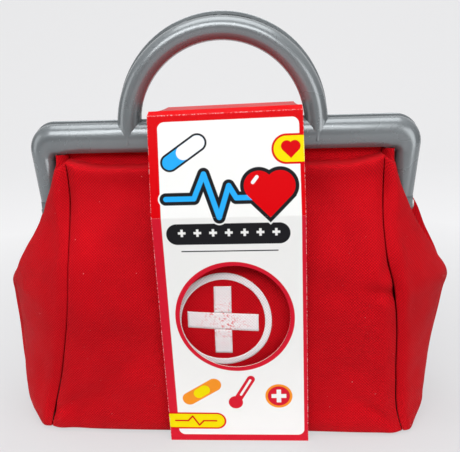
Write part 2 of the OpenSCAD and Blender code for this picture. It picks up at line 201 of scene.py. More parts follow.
class Form:
    """A mesh in the making, in millimetres, with a UV map in millimetres."""

    def __init__(self) -> None:
        """Starts empty."""
        self.mesh = bmesh.new()
        self.uv = self.mesh.loops.layers.uv.new("mm")

    @classmethod
    def of_sheet(cls, points: np.ndarray, flat: np.ndarray, outward: Point) -> "Form":
        """Starts with one sheet.

        Args:
            points: Places as rows, columns and X, Y, Z.
            flat: The same as rows, columns and UV in millimetres.
            outward: A direction that its faces turn to, on the whole.

        Returns:
            The form.
        """
        form = cls()
        form.sheet(points, flat, outward)
        return form

    def face(self, points: Sequence[Point]) -> bmesh.types.BMFace:
        """Adds one flat face through its corners."""
        return self.mesh.faces.new([self.mesh.verts.new(point) for point in points])

    def deepen(self, face: bmesh.types.BMFace, offset: Point) -> None:
        """Extrudes a face into a solid.

        Args:
            face: The flat face to extrude.
            offset: How far the new one moves.
        """
        made = bmesh.ops.extrude_face_region(self.mesh, geom=[face])
        verts = [item for item in made["geom"] if isinstance(item, bmesh.types.BMVert)]
        bmesh.ops.translate(self.mesh, verts=verts, vec=offset)
        bmesh.ops.recalc_face_normals(self.mesh, faces=self.mesh.faces)

    def round_off(self, edges: Sequence[bmesh.types.BMEdge], radius: float, steps: int) -> None:
        """Rounds edges.

        Args:
            edges: The edges to round.
            radius: The radius to give them.
            steps: Number of faces across each round.
        """
        bmesh.ops.bevel(
            self.mesh, geom=list(edges), offset=radius, offset_type="OFFSET", segments=steps,
            profile=0.5, affect="EDGES", clamp_overlap=False, material=-1,
        )

    def box(self, low: Point, high: Point) -> list[bmesh.types.BMVert]:
        """Adds a box.

        Args:
            low: Its lowest corner.
            high: Its highest corner.

        Returns:
            Its corners.
        """
        made = bmesh.ops.create_cube(self.mesh, size=1)
        size = [b - a for a, b in zip(low, high)]
        middle = [(a + b) / 2 for a, b in zip(low, high)]
        bmesh.ops.scale(self.mesh, verts=made["verts"], vec=size)
        bmesh.ops.translate(self.mesh, verts=made["verts"], vec=middle)
        return made["verts"]

    def rod(self, start: Point, end: Point, radius: float, steps: int = 32) -> None:
        """Adds a cylinder.

        Args:
            start: Middle of its first end.
            end: Middle of its last end.
            radius: Its radius.
            steps: Number of faces round it.
        """
        line = Vector(end) - Vector(start)
        turn = line.to_track_quat("Z", "Y").to_matrix().to_4x4()
        place = Matrix.Translation((Vector(start) + Vector(end)) / 2) @ turn
        bmesh.ops.create_cone(
            self.mesh, cap_ends=True, segments=steps, radius1=radius, radius2=radius,
            depth=line.length, matrix=place,
        )

    def sheet(self, points: np.ndarray, flat: np.ndarray, outward: Point) -> None:
        """Adds a sheet: a grid whose vertices are then moved to their places.

        Args:
            points: Places as rows, columns and X, Y, Z.
            flat: The same as rows, columns and UV in millimetres.
            outward: A direction that its faces turn to, on the whole.
        """
        rows, columns = points.shape[:2]
        made = bmesh.ops.create_grid(
            self.mesh, x_segments=columns - 1, y_segments=rows - 1, size=0.5
        )
        where: dict[int, tuple[int, int]] = {}
        self.mesh.verts.index_update()
        for vert in made["verts"]:
            column = round((vert.co.x + 0.5) * (columns - 1))
            row = round((vert.co.y + 0.5) * (rows - 1))
            where[vert.index] = (row, column)
        facing = Vector((0, 0, 0))
        faces = {face for vert in made["verts"] for face in vert.link_faces}
        for vert in made["verts"]:
            vert.co = points[where[vert.index]]
        for face in faces:
            face.normal_update()
            facing += face.normal * face.calc_area()
            for loop in face.loops:
                loop[self.uv].uv = flat[where[loop.vert.index]]
        if facing.dot(Vector(outward)) < 0:
            bmesh.ops.reverse_faces(self.mesh, faces=list(faces))

    def tube(self, rings: np.ndarray) -> None:
        """Adds a closed solid swept through rings.

        Args:
            rings: Places as rings, points round each ring and X, Y, Z.
        """
        closed = np.concatenate([rings, rings[:, :1]], axis=1)
        self.sheet(closed, closed[:, :, :2], (0, 0, 1))
        self.weld(0.001)
        ends = [edge for edge in self.mesh.edges if edge.is_boundary]
        bmesh.ops.holes_fill(self.mesh, edges=ends)
        bmesh.ops.recalc_face_normals(self.mesh, faces=self.mesh.faces)

    def weld(self, distance: float = 0.01) -> None:
        """Merges vertices that lie closer than a distance."""
        bmesh.ops.remove_doubles(self.mesh, verts=self.mesh.verts, dist=distance)

    def to_object(
        self, name: str, finishes: Sequence[bpy.types.Material], sharp: float = 180.0
    ) -> bpy.types.Object:
        """Makes the object, in metres.

        Args:
            name: The piece's name.
            finishes: Its materials.
            sharp: Edges that bend more than this many degrees look sharp.

        Returns:
            The object, at the origin.
        """
        bmesh.ops.scale(self.mesh, verts=self.mesh.verts, vec=(MM, MM, MM))
        data = bpy.data.meshes.new(name)
        self.mesh.to_mesh(data)
        self.mesh.free()
        for finish in finishes:
            data.materials.append(finish)
        data.shade_smooth()
        if sharp < 180:
            data.set_sharp_from_angle(angle=math.radians(sharp))
        piece = bpy.data.objects.new(name, data)
        bpy.context.scene.collection.objects.link(piece)
        return piece


def bake(piece: bpy.types.Object) -> None:
    """Applies all of a piece's modifiers to its mesh.

    Args:
        piece: The piece.
    """
    graph = bpy.context.evaluated_depsgraph_get()
    mesh = bpy.data.meshes.new_from_object(piece.evaluated_get(graph), depsgraph=graph)
    old = piece.data
    piece.modifiers.clear()
    piece.data = mesh
    bpy.data.meshes.remove(old)


def combine(piece: bpy.types.Object, other: bpy.types.Object, way: Combining) -> None:
    """Joins another solid to a piece or cuts it out, and removes the other.

    Args:
        piece: The piece to change.
        other: The other solid.
        way: Whether it is joined or cut out.
    """
    change = piece.modifiers.new("Combine", "BOOLEAN")
    change.operation = way.value
    change.solver = "EXACT"
    change.object = other
    bake(piece)
    bpy.data.objects.remove(other)


def thicken(piece: bpy.types.Object, thickness: float, levels: int = 0) -> None:
    """Gives a sheet its thickness, inwards, and may smooth it.

    Args:
        piece: The sheet.
        thickness: Its thickness in millimetres.
        levels: Levels of subdivision, or 0 for none.
    """
    wall = piece.modifiers.new("Thickness", "SOLIDIFY")
    wall.thickness = thickness * MM
    wall.offset = -1
    wall.use_rim = True
    if levels:
        smooth = piece.modifiers.new("Smooth", "SUBSURF")
        smooth.levels = levels
        smooth.render_levels = levels


def report(piece: bpy.types.Object) -> None:
    """Logs a finished piece with its size."""
    size = ", ".join(f"{side / MM:.1f}" for side in piece.dimensions)
    log.info("%s: %d faces, %s mm", piece.name, len(piece.data.polygons), size)


# ---------------------------------------------------------------- shader maths


class Wire:
    """A shader socket whose operators add Math nodes."""

    def __init__(self, shader: "Shader", socket: bpy.types.NodeSocket) -> None:
        """Wraps one output socket of a shader's tree."""
        self.shader = shader
        self.socket = socket

    def math(self, operation: str, *others: Any) -> "Wire":
        """One Math node with this wire first.

        Args:
            operation: The node's operation.
            others: Its other values or wires.

        Returns:
            The node's result.
        """
        values = dict(enumerate((self, *others)))
        return self.shader.node("ShaderNodeMath", {"operation": operation}, values)

    def __add__(self, other: Any) -> "Wire":
        """This plus another."""
        return self.math("ADD", other)

    def __sub__(self, other: Any) -> "Wire":
        """This minus another."""
        return self.math("SUBTRACT", other)

    def __mul__(self, other: Any) -> "Wire":
        """This times another."""
        return self.math("MULTIPLY", other)

    def __truediv__(self, other: Any) -> "Wire":
        """This divided by another."""
        return self.math("DIVIDE", other)

    def __rsub__(self, other: float) -> "Wire":
        """A number minus this."""
        return self.shader.node("ShaderNodeMath", {"operation": "SUBTRACT"}, {0: other, 1: self})

    __radd__ = __add__
    __rmul__ = __mul__

    def __abs__(self) -> "Wire":
        """This without its sign."""
        return self.math("ABSOLUTE")

    def sin(self) -> "Wire":
        """The sine of this, in radians."""
        return self.math("SINE")

    def root(self) -> "Wire":
        """The square root of this."""
        return self.math("SQRT")

    def least(self, other: Any) -> "Wire":
        """The smaller of this and another."""
        return self.math("MINIMUM", other)

    def most(self, other: Any) -> "Wire":
        """The larger of this and another."""
        return self.math("MAXIMUM", other)

    def clamp(self) -> "Wire":
        """This held between 0 and 1."""
        return self.math("MAXIMUM", 0.0).math("MINIMUM", 1.0)

    def rise(self, low: float, high: float) -> "Wire":
        """Rises from 0 at low to 1 at high."""
        return ((self - low) / (high - low)).clamp()

    def beside(self, name: str) -> "Wire":
        """Another output of the node that this one comes from."""
        return Wire(self.shader, self.socket.node.outputs[name])


class Shader:
    """A material, or a world, made of nodes."""

    def __init__(self, made: bpy.types.Material | bpy.types.World) -> None:
        """Takes a new material or world and empties its tree.

        Args:
            made: The material or the world.
        """
        self.made = made
        self.made.use_nodes = True
        self.tree = self.made.node_tree
        self.tree.nodes.clear()

    @classmethod
    def named(cls, name: str) -> "Shader":
        """Starts a new material."""
        return cls(bpy.data.materials.new(name))

    @staticmethod
    def _socket(sockets: Any, key: Any) -> bpy.types.NodeSocket:
        """Finds a socket.

        Args:
            sockets: A node's inputs or outputs.
            key: The socket's number, its identifier or its name.

        Returns:
            The socket.
        """
        if isinstance(key, int):
            return sockets[key]
        return next((s for s in sockets if s.identifier == key), None) or sockets[key]

    def node(
        self, kind: str, settings: dict[str, Any], values: dict[Any, Any], out: Any = 0
    ) -> Wire:
        """Adds any node.

        Args:
            kind: The node's type.
            settings: Its properties, such as a Math node's operation, set first.
            values: Numbers, colours or wires for its input sockets.
            out: Which output to return.

        Returns:
            The chosen output.
        """
        made = self.tree.nodes.new(kind)
        for key, value in settings.items():
            setattr(made, key, value)
        for key, value in values.items():
            socket = self._socket(made.inputs, key)
            if isinstance(value, Wire):
                self.tree.links.new(value.socket, socket)
            elif isinstance(value, tuple) and socket.type == "RGBA":
                socket.default_value = (*value, 1)
            else:
                socket.default_value = value
        return Wire(self, self._socket(made.outputs, out) if made.outputs else None)

    def mix(self, factor: Any, first: Any, second: Any) -> Wire:
        """Mixes two colours.

        Args:
            factor: 0 for the first, 1 for the second.
            first: A colour or a wire.
            second: A colour or a wire.

        Returns:
            The mixed colour.
        """
        values = {"Factor_Float": factor, "A_Color": first, "B_Color": second}
        return self.node("ShaderNodeMix", {"data_type": "RGBA"}, values, "Result_Color")

    def place(self) -> Wire:
        """Object coordinates, in metres."""
        return self.node("ShaderNodeTexCoord", {}, {}, "Object")

    def split(self, vector: Wire, first: str, second: str) -> tuple[Wire, Wire]:
        """Two of a vector's three numbers.

        Args:
            vector: The vector.
            first: X, Y or Z.
            second: Another of the three.

        Returns:
            Both numbers.
        """
        number = self.node("ShaderNodeSeparateXYZ", {}, {0: vector}, first)
        return number, number.beside(second)

    def flat(self) -> tuple[Wire, Wire]:
        """The piece's own UV map, as two numbers in millimetres."""
        return self.split(self.node("ShaderNodeUVMap", {"uv_map": "mm"}, {}), "X", "Y")

    def grain(self, where: Wire, scale: float, detail: float = 3.0, rough: float = 0.5) -> Wire:
        """Noise between 0 and 1.

        Args:
            where: The coordinates to read it at.
            scale: Its cells for each unit of them.
            detail: Its octaves.
            rough: How strong the fine ones are.

        Returns:
            The noise.
        """
        values = {"Vector": where, "Scale": scale, "Detail": detail, "Roughness": rough}
        return self.node("ShaderNodeTexNoise", {}, values)

    def finish(
        self, colour: Wire, rough: Any, height: Wire, depth: float, **gloss: float
    ) -> bpy.types.Material:
        """Closes the tree with one Principled shader.

        Args:
            colour: Base colour.
            rough: Roughness.
            height: What the bump follows.
            depth: The bump's distance in metres.
            gloss: Other sockets, with underscores for the spaces in their names.

        Returns:
            The material.
        """
        bump = {"Height": height, "Distance": depth, "Strength": 1.0}
        values = {"Base Color": colour, "Roughness": rough}
        values.update({key.replace("_", " "): value for key, value in gloss.items()})
        values["Normal"] = self.node("ShaderNodeBump", {}, bump)
        surface = self.node("ShaderNodeBsdfPrincipled", {}, values)
        self.node("ShaderNodeOutputMaterial", {}, {"Surface": surface})
        return self.made


# ---------------------------------------------------------------- finishes


@dataclass(frozen=True)
class MouldedPlastic:
    """Silver-grey moulded plastic with faint flow marks."""

    name: str = "frame_plastic"
    light: Colour = (0.215, 0.235, 0.245)
    dark: Colour = (0.185, 0.203, 0.213)
    rough: float = 0.27
    flow_scale: float = 22.0
    fine_scale: float = 900.0
    scuff_scale: float = 240.0
    bump: float = 0.00002

    def make(self) -> bpy.types.Material:
        """Builds the material.

        Returns:
            The material.
        """
        shader = Shader.named(self.name)
        where = shader.place()
        flow = shader.grain(where, self.flow_scale, 4.0)
        fine = shader.grain(where, self.fine_scale, 2.0)
        scuffs = shader.grain(where, self.scuff_scale, 4.0, 0.6).rise(0.60, 0.90)
        colour = shader.mix(flow.rise(0.35, 0.65), self.dark, self.light)
        rough = self.rough + (flow - 0.5) * 0.10 + scuffs * 0.06
        return shader.finish(
            colour, rough, fine + flow * 2.0, self.bump, Metallic=0.40, IOR=1.5,
            Coat_Weight=0.25, Coat_Roughness=0.12,
        )


@dataclass(frozen=True)
class WovenCloth:
    """Plain-woven synthetic cloth with a light sheen."""

    name: str = "bag_cloth"
    thread: Colour = (0.67, 0.0015, 0.008)
    # painted shade: the darker colour of the weave's gaps between the threads
    gap: Colour = (0.27, 0.001, 0.004)
    lint: Colour = (0.7, 0.35, 0.35)
    pitch: float = 1.8
    patch_scale: float = 35.0
    slub_scale: float = 420.0
    lint_scale: float = 1100.0
    bump: float = 0.00035

    def weave(self, shader: Shader) -> Wire:
        """Height of the threads.

        Args:
            shader: The material in the making.

        Returns:
            The height, 0 in the gaps and 1 on the crowns.
        """
        u, v = shader.flat()
        step = 2 * math.pi / self.pitch
        checks = (u * step).sin() * (v * step).sin()
        return checks * 0.5 + 0.5

    def make(self) -> bpy.types.Material:
        """Builds the material.

        Returns:
            The material.
        """
        shader = Shader.named(self.name)
        where = shader.place()
        height = self.weave(shader)
        patches = shader.grain(where, self.patch_scale, 4.0)
        slubs = shader.grain(where, self.slub_scale, 2.0)
        # painted shade in the weave's gaps, mixed with patches of random tone
        colour = shader.mix((height * 0.75 + patches * 0.5 - 0.1).clamp(), self.gap, self.thread)
        lint = shader.grain(where, self.lint_scale, 0.0).rise(0.90, 0.93)
        colour = shader.mix(lint, colour, self.lint)
        rough = 0.86 - height * 0.16 + (slubs - 0.5) * 0.1
        return shader.finish(
            colour, rough, height + slubs * 0.6, self.bump, Sheen_Weight=0.02,
            Sheen_Roughness=0.4, Specular_IOR_Level=0.08,
        )


@dataclass(frozen=True)
class WornInk:
    """White ink printed on the cloth, rubbed through in places."""

    name: str = "print_white"
    ink: Colour = (0.80, 0.76, 0.765)
    shade: Colour = (0.66, 0.55, 0.565)
    cloth: WovenCloth = WovenCloth()
    rubbed: Point = (0.004, 0.020)
    speck_scale: float = 1000.0
    rub_scale: float = 380.0
    bump: float = 0.00012

    def make(self) -> bpy.types.Material:
        """Builds the material.

        Returns:
            The material.
        """
        shader = Shader.named(self.name)
        where = shader.place()
        height = self.cloth.weave(shader)
        x, z = shader.split(where, "X", "Z")
        reach = (x * x + (z - EMBLEM_Z * MM) * (z - EMBLEM_Z * MM)).root()
        near = 1.0 - reach.rise(*self.rubbed)
        specks = shader.grain(where, self.speck_scale, 2.0).rise(0.56, 0.62) * near
        rubs = shader.grain(where, self.rub_scale, 4.0).rise(0.76, 0.82)
        colour = shader.mix(height.rise(0.1, 0.6), self.shade, self.ink)
        colour = shader.mix(specks.most(rubs) * 0.8, colour, self.cloth.thread)
        return shader.finish(colour, 0.62, height, self.bump, Specular_IOR_Level=0.4)


@dataclass(frozen=True)
class BareMetal:
    """Plated steel of the hinge pins and the screws."""

    name: str = "pin_steel"
    colour: Colour = (0.62, 0.62, 0.60)
    dulled: float = 0.7

    def make(self) -> bpy.types.Material:
        """Builds the material.

        Returns:
            The material.
        """
        shader = Shader.named(self.name)
        where = shader.place()
        marks = shader.grain(where, 600.0, 4.0)
        colour = shader.mix(marks, tuple(c * self.dulled for c in self.colour), self.colour)
        return shader.finish(colour, 0.22 + marks * 0.2, marks, 0.00001, Metallic=1.0)


@dataclass(frozen=True)
class GreyBoard:
    """Grey board with pulp flecks."""

    name: str = "base_card"
    light: Colour = (0.45, 0.36, 0.27)
    dark: Colour = (0.30, 0.23, 0.17)

    def make(self) -> bpy.types.Material:
        """Builds the material.

        Returns:
            The material.
        """
        shader = Shader.named(self.name)
        where = shader.place()
        pulp = shader.grain(where, 260.0, 6.0, 0.7)
        colour = shader.mix(pulp.rise(0.35, 0.65), self.dark, self.light)
        return shader.finish(colour, 0.9, pulp, 0.00005)


@dataclass(frozen=True)
class BareCard:
    """The card's unprinted side and cut edges."""

    name: str = "card_bare"
    colour: Colour = (0.78, 0.75, 0.70)
    pulp_shade: float = 0.9

    def make(self) -> bpy.types.Material:
        """Builds the material.

        Returns:
            The material.
        """
        shader = Shader.named(self.name)
        pulp = shader.grain(shader.place(), 500.0, 4.0)
        colour = shader.mix(pulp, tuple(c * self.pulp_shade for c in self.colour), self.colour)
        return shader.finish(colour, 0.8, pulp, 0.00002)


class Ink:
    """Shapes drawn on the card in its own millimetres, as distances to their edges.

    A distance is negative inside its shape.
    """

    soft = 0.16  # half the width of a printed edge's blur

    def __init__(self, shader: Shader, s: Wire, t: Wire) -> None:
        """Takes the card's coordinates.

        Args:
            shader: The material in the making.
            s: Millimetres across the card, from its middle line.
            t: Millimetres up the card, from its front foot.
        """
        self.shader = shader
        self.s = s
        self.t = t

    def circle(self, s: float, t: float, radius: float) -> Wire:
        """Distance to a circle."""
        x, y = self.s - s, self.t - t
        return (x * x + y * y).root() - radius

    def block(self, left: float, low: float, right: float, high: float, corner: float) -> Wire:
        """Distance to a rectangle with rounded corners.

        Args:
            left: Its left side.
            low: Its lower side.
            right: Its right side.
            high: Its upper side.
            corner: The corners' radius.

        Returns:
            The distance, negative inside.
        """
        x = abs(self.s - (left + right) / 2) - ((right - left) / 2 - corner)
        y = abs(self.t - (low + high) / 2) - ((high - low) / 2 - corner)
        out_x, out_y = x.most(0.0), y.most(0.0)
        outside = (out_x * out_x + out_y * out_y).root()
        return outside + x.most(y).least(0.0) - corner

    def plus(self, s: float, t: float, reach: float, arm: float, corner: float) -> list[Wire]:
        """Distances to the two bars of a plain cross.

        Args:
            s: Its middle across the card.
            t: Its middle up the card.
            reach: Half its span.
            arm: Half the width of a bar.
            corner: The bars' corner radius.

        Returns:
            The level bar and the upright one.
        """
        level = self.block(s - reach, t - arm, s + reach, t + arm, corner)
        return [level, self.block(s - arm, t - reach, s + arm, t + reach, corner)]

    def stroke(self, start: Point, end: Point, radius: float) -> Wire:
        """Distance to a thick line with round ends.

        Args:
            start: Its first end.
            end: Its last end.
            radius: Half its width.

        Returns:
            The distance, negative inside.
        """
        bx, by = end[0] - start[0], end[1] - start[1]
        x, y = self.s - start[0], self.t - start[1]
        along = ((x * bx + y * by) / (bx * bx + by * by)).clamp()
        dx, dy = x - along * bx, y - along * by
        return (dx * dx + dy * dy).root() - radius

    def zigzag(self, points: Sequence[Point], radius: float) -> Wire:
        """Distance to a run of thick lines.

        Args:
            points: The corners of the run.
            radius: Half the lines' width.

        Returns:
            The distance, negative inside.
        """
        runs = [self.stroke(a, b, radius) for a, b in zip(points, points[1:])]
        found = runs[0]
        for run in runs[1:]:
            found = found.least(run)
        return found

    def heart(self, s: float, t: float, size: float) -> Wire:
        """Distance to a heart: a square on its corner with a round lobe on each upper side.

        Args:
            s: The square's middle across the card.
            t: The square's middle up the card.
            size: The square's side.

        Returns:
            The distance, negative inside.
        """
        shift = size / (2 * math.sqrt(2))
        x, y = abs(self.s - s), abs(self.t - t)
        square = (x + y) / math.sqrt(2) - size / 2
        left = self.circle(s - shift, t + shift, size / 2)
        return square.least(left).least(self.circle(s + shift, t + shift, size / 2))

    def lay(self, under: Wire, layers: Sequence[Layer]) -> Wire:
        """Prints layers over each other, each with one colour inside a shape.

        Args:
            under: What is printed already.
            layers: For each, its colour, the distance to its edge and the width it grows by.

        Returns:
            The print with the layers on it.
        """
        for colour, edge, grow in layers:
            inside = 1.0 - (edge - grow).rise(-self.soft, self.soft)
            under = self.shader.mix(inside, under, colour)
        return under


@dataclass(frozen=True)
class PrintedCard:
    """The card's varnished print: generic motifs in plain colours.

    Attributes:
        name: The material's name.
        red, soft_red, white, black, yellow, blue, orange: The inks.
        worn_edge: The card where its creases and edges are rubbed.
        crease, brow: Length up the card to its two creases in front.
        panel_sides: Left and right side of the white panels.
        front_panel, back_panel: Their lower and upper sides.
        panel_r: Their corners' radius.
        ring_w: Width of the ring round the window.
        wear_w: Width of the wear along an edge.
    """

    name: str = "sleeve_card"
    red: Colour = (0.61, 0.0005, 0.003)
    soft_red: Colour = (0.60, 0.010, 0.027)
    white: Colour = (0.80, 0.80, 0.785)
    black: Colour = (0.012, 0.012, 0.014)
    yellow: Colour = (0.80, 0.66, 0.0)
    blue: Colour = (0.02, 0.36, 0.80)
    orange: Colour = (0.82, 0.27, 0.02)
    worn_edge: Colour = (0.85, 0.78, 0.78)
    crease: float = 149.1
    brow: float = 208.4
    panel_sides: Point = (-38.3, 41.5)
    front_panel: Point = (4.5, 204.5)
    back_panel: Point = (300.0, 482.0)
    panel_r: float = 4.0
    ring_w: float = 2.7
    wear_w: float = 0.6

    def band(self, ink: Ink) -> list[Layer]:
        """The dark band with its row of small crosses.

        Args:
            ink: The shapes.

        Returns:
            The layers, the lowest first.
        """
        layers = [(self.black, ink.block(-36, 133, 35, 145.5, 6.2), 0.0)]
        for s in range(-27, 28, 9):
            layers += [(self.white, bar, 0.0) for bar in ink.plus(s, 140, 2.2, 0.7, 0.2)]
        return layers

    def pulse(self, ink: Ink) -> list[Layer]:
        """The pulse line that runs into a heart, outlined in white and black.

        Args:
            ink: The shapes.

        Returns:
            The layers, the lowest first.
        """
        beat = ((-35, 160), (-19, 160), (-13, 174), (-5, 149), (1, 167), (5, 160), (14, 160))
        line = ink.zigzag(beat, 1.5)
        heart = ink.heart(24, 160.5, 17.0)
        outline = line.least(heart)
        shine = ink.stroke((14.6, 168.5), (17.0, 171.5), 1.0)
        return [
            (self.white, outline, 3.0), (self.black, outline, 2.1), (self.blue, line, 0.0),
            (self.red, heart, 0.0), (self.white, shine, 0.0),
        ]

    def capsule(self, ink: Ink) -> list[Layer]:
        """The capsule, half blue and half white.

        Args:
            ink: The shapes.

        Returns:
            The layers, the lowest first.
        """
        pill = ink.stroke((-32, 181), (-16, 192), 4.2)
        cap = ink.stroke((-24, 186.5), (-16, 192), 4.2)
        return [(self.black, pill, 1.2), (self.blue, pill, 0.0), (self.white, cap, 0.0)]

    def tabs(self, ink: Ink) -> list[Layer]:
        """The yellow tab with a heart high on the right, and the low one with a pulse line.

        Args:
            ink: The shapes.

        Returns:
            The layers, the lowest first.
        """
        high = ink.block(26, 178.5, 60, 195, 8.2)
        low = ink.block(-60, 9, -8, 20.5, 5.7)
        beat = ((-40, 14.7), (-32, 14.7), (-29, 18), (-25, 11.5), (-22, 14.7), (-14, 14.7))
        return [
            (self.red, high, 0.3), (self.yellow, high, -0.9),
            (self.red, ink.heart(36.5, 186.0, 6.4), 0.0), (self.red, low, 0.3),
            (self.yellow, low, -0.8), (self.red, ink.zigzag(beat, 0.55), 0.0),
        ]

    def low_row(self, ink: Ink) -> list[Layer]:
        """The plaster, the thermometer and the round badge in a row below the window.

        Args:
            ink: The shapes.

        Returns:
            The layers, the lowest first.
        """
        plaster = ink.stroke((-30, 31), (-14, 41), 4.4)
        pad = ink.stroke((-24, 34.7), (-20, 37.3), 3.2)
        glass = ink.stroke((0, 30), (9, 45), 2.0).least(ink.circle(-1, 28.5, 4.0))
        scale = ink.stroke((2.5, 34), (8.6, 44.3), 0.7)
        layers = [
            (self.orange, plaster, 0.0), (self.yellow, pad, 0.0), (self.soft_red, glass, 0.5),
            (self.white, scale, 0.0), (self.orange, ink.circle(26, 33, 8.4), 0.0),
            (self.soft_red, ink.circle(26, 33, 6.9), 0.0),
        ]
        return layers + [(self.white, bar, 0.0) for bar in ink.plus(26, 33, 4.6, 1.4, 0.3)]

    def motifs(self, ink: Ink) -> list[Layer]:
        """All shapes printed over the front's white panel.

        Args:
            ink: The shapes.

        Returns:
            The layers, the lowest first.
        """
        line = ink.block(-28, 128.6, 28, 129.3, 0.3)
        drawn = self.band(ink) + self.pulse(ink) + self.capsule(ink) + self.tabs(ink)
        return drawn + self.low_row(ink) + [(self.black, line, 0.0)]

    def make(self) -> bpy.types.Material:
        """Builds the material.

        Returns:
            The material.
        """
        shader = Shader.named(self.name)
        s, t = shader.flat()
        ink = Ink(shader, s, t)
        where = shader.place()
        fade = shader.grain(where, 30.0, 3.0)
        field_red = shader.mix((self.crease - t).rise(-0.4, 0.4), self.red, self.soft_red)
        left, right = self.panel_sides
        front = ink.block(left, self.front_panel[0], right, self.front_panel[1], self.panel_r)
        back = ink.block(left, self.back_panel[0], right, self.back_panel[1], self.panel_r)
        ring = ink.circle(*WINDOW[:2], WINDOW[2] + self.ring_w)
        layers = [(self.white, front, 0.0), *self.motifs(ink)]
        layers += [(self.soft_red, ring, 0.0), (self.white, back, 0.0)]
        art = ink.lay(field_red, layers)
        worn = shader.grain(where, 900.0, 4.0, 0.7)
        folds = abs(t - self.brow).least(abs(t - self.crease) * 6.0)
        rims = (CARD_W / 2 - abs(s)) * 1.4
        wear = (1.0 - folds.least(rims) / self.wear_w).clamp() * worn.rise(0.46, 0.66)
        art = shader.mix(wear * 0.85, art, self.worn_edge)
        rough = 0.30 + fade * 0.12 + wear * 0.3
        return shader.finish(
            art, rough, fade * 0.6 + shader.grain(where, 500.0, 2.0) * 0.04, 0.0006,
            Specular_IOR_Level=0.06,
        )


@dataclass(frozen=True)
class PaleSweep:
    """The studio floor: pale, with the object's shadow on it and painted shade round the bag."""

    name: str = "studio_floor"
    colour: Colour = (0.80, 0.80, 0.81)
    ahead: Colour = (0.18, 0.18, 0.185)
    # painted shade: what the camera sees of the floor near the bag, darker than far
    near: Colour = (0.70, 0.70, 0.71)
    far: Colour = (0.99, 0.99, 1.0)
    glow: float = 0.74
    painted_shade_fade: Point = (0.15, 0.60)
    front_edge: Point = (-0.20, -0.08)

    def make(self) -> bpy.types.Material:
        """Builds the material.

        Returns:
            The material.
        """
        shader = Shader.named(self.name)
        path = shader.node("ShaderNodeLightPath", {}, {}, "Is Camera Ray")
        glossy, through_glass = path.beside("Is Glossy Ray"), path.beside("Is Transmission Ray")
        seen = (path + glossy + through_glass).clamp() * self.glow
        where = shader.place()
        reach = shader.node("ShaderNodeVectorMath", {"operation": "LENGTH"}, {0: where}, "Value")
        # painted shade round the bag: the floor's shown colour darkens from far to near as it comes
        # within the fading reach of the bag
        shown = shader.mix(reach.rise(*self.painted_shade_fade), self.near, self.far)
        tooth = shader.grain(where, 8.0, 3.0)
        tone = shader.mix(tooth, tuple(c * 0.98 for c in self.colour), self.colour)
        away = shader.node("ShaderNodeSeparateXYZ", {}, {0: where}, "Y")
        behind = away.rise(*self.front_edge)
        tone = shader.mix(behind, self.ahead, tone)
        shown = shader.mix(behind, self.far, shown)
        matt = shader.node("ShaderNodeBsdfDiffuse", {}, {"Color": tone})
        light = shader.node("ShaderNodeEmission", {}, {"Color": shown, "Strength": 1.0})
        both = shader.node("ShaderNodeMixShader", {}, {0: seen, 1: matt, 2: light})
        shader.node("ShaderNodeOutputMaterial", {}, {"Surface": both})
        return shader.made


# ---------------------------------------------------------------- the grey frame


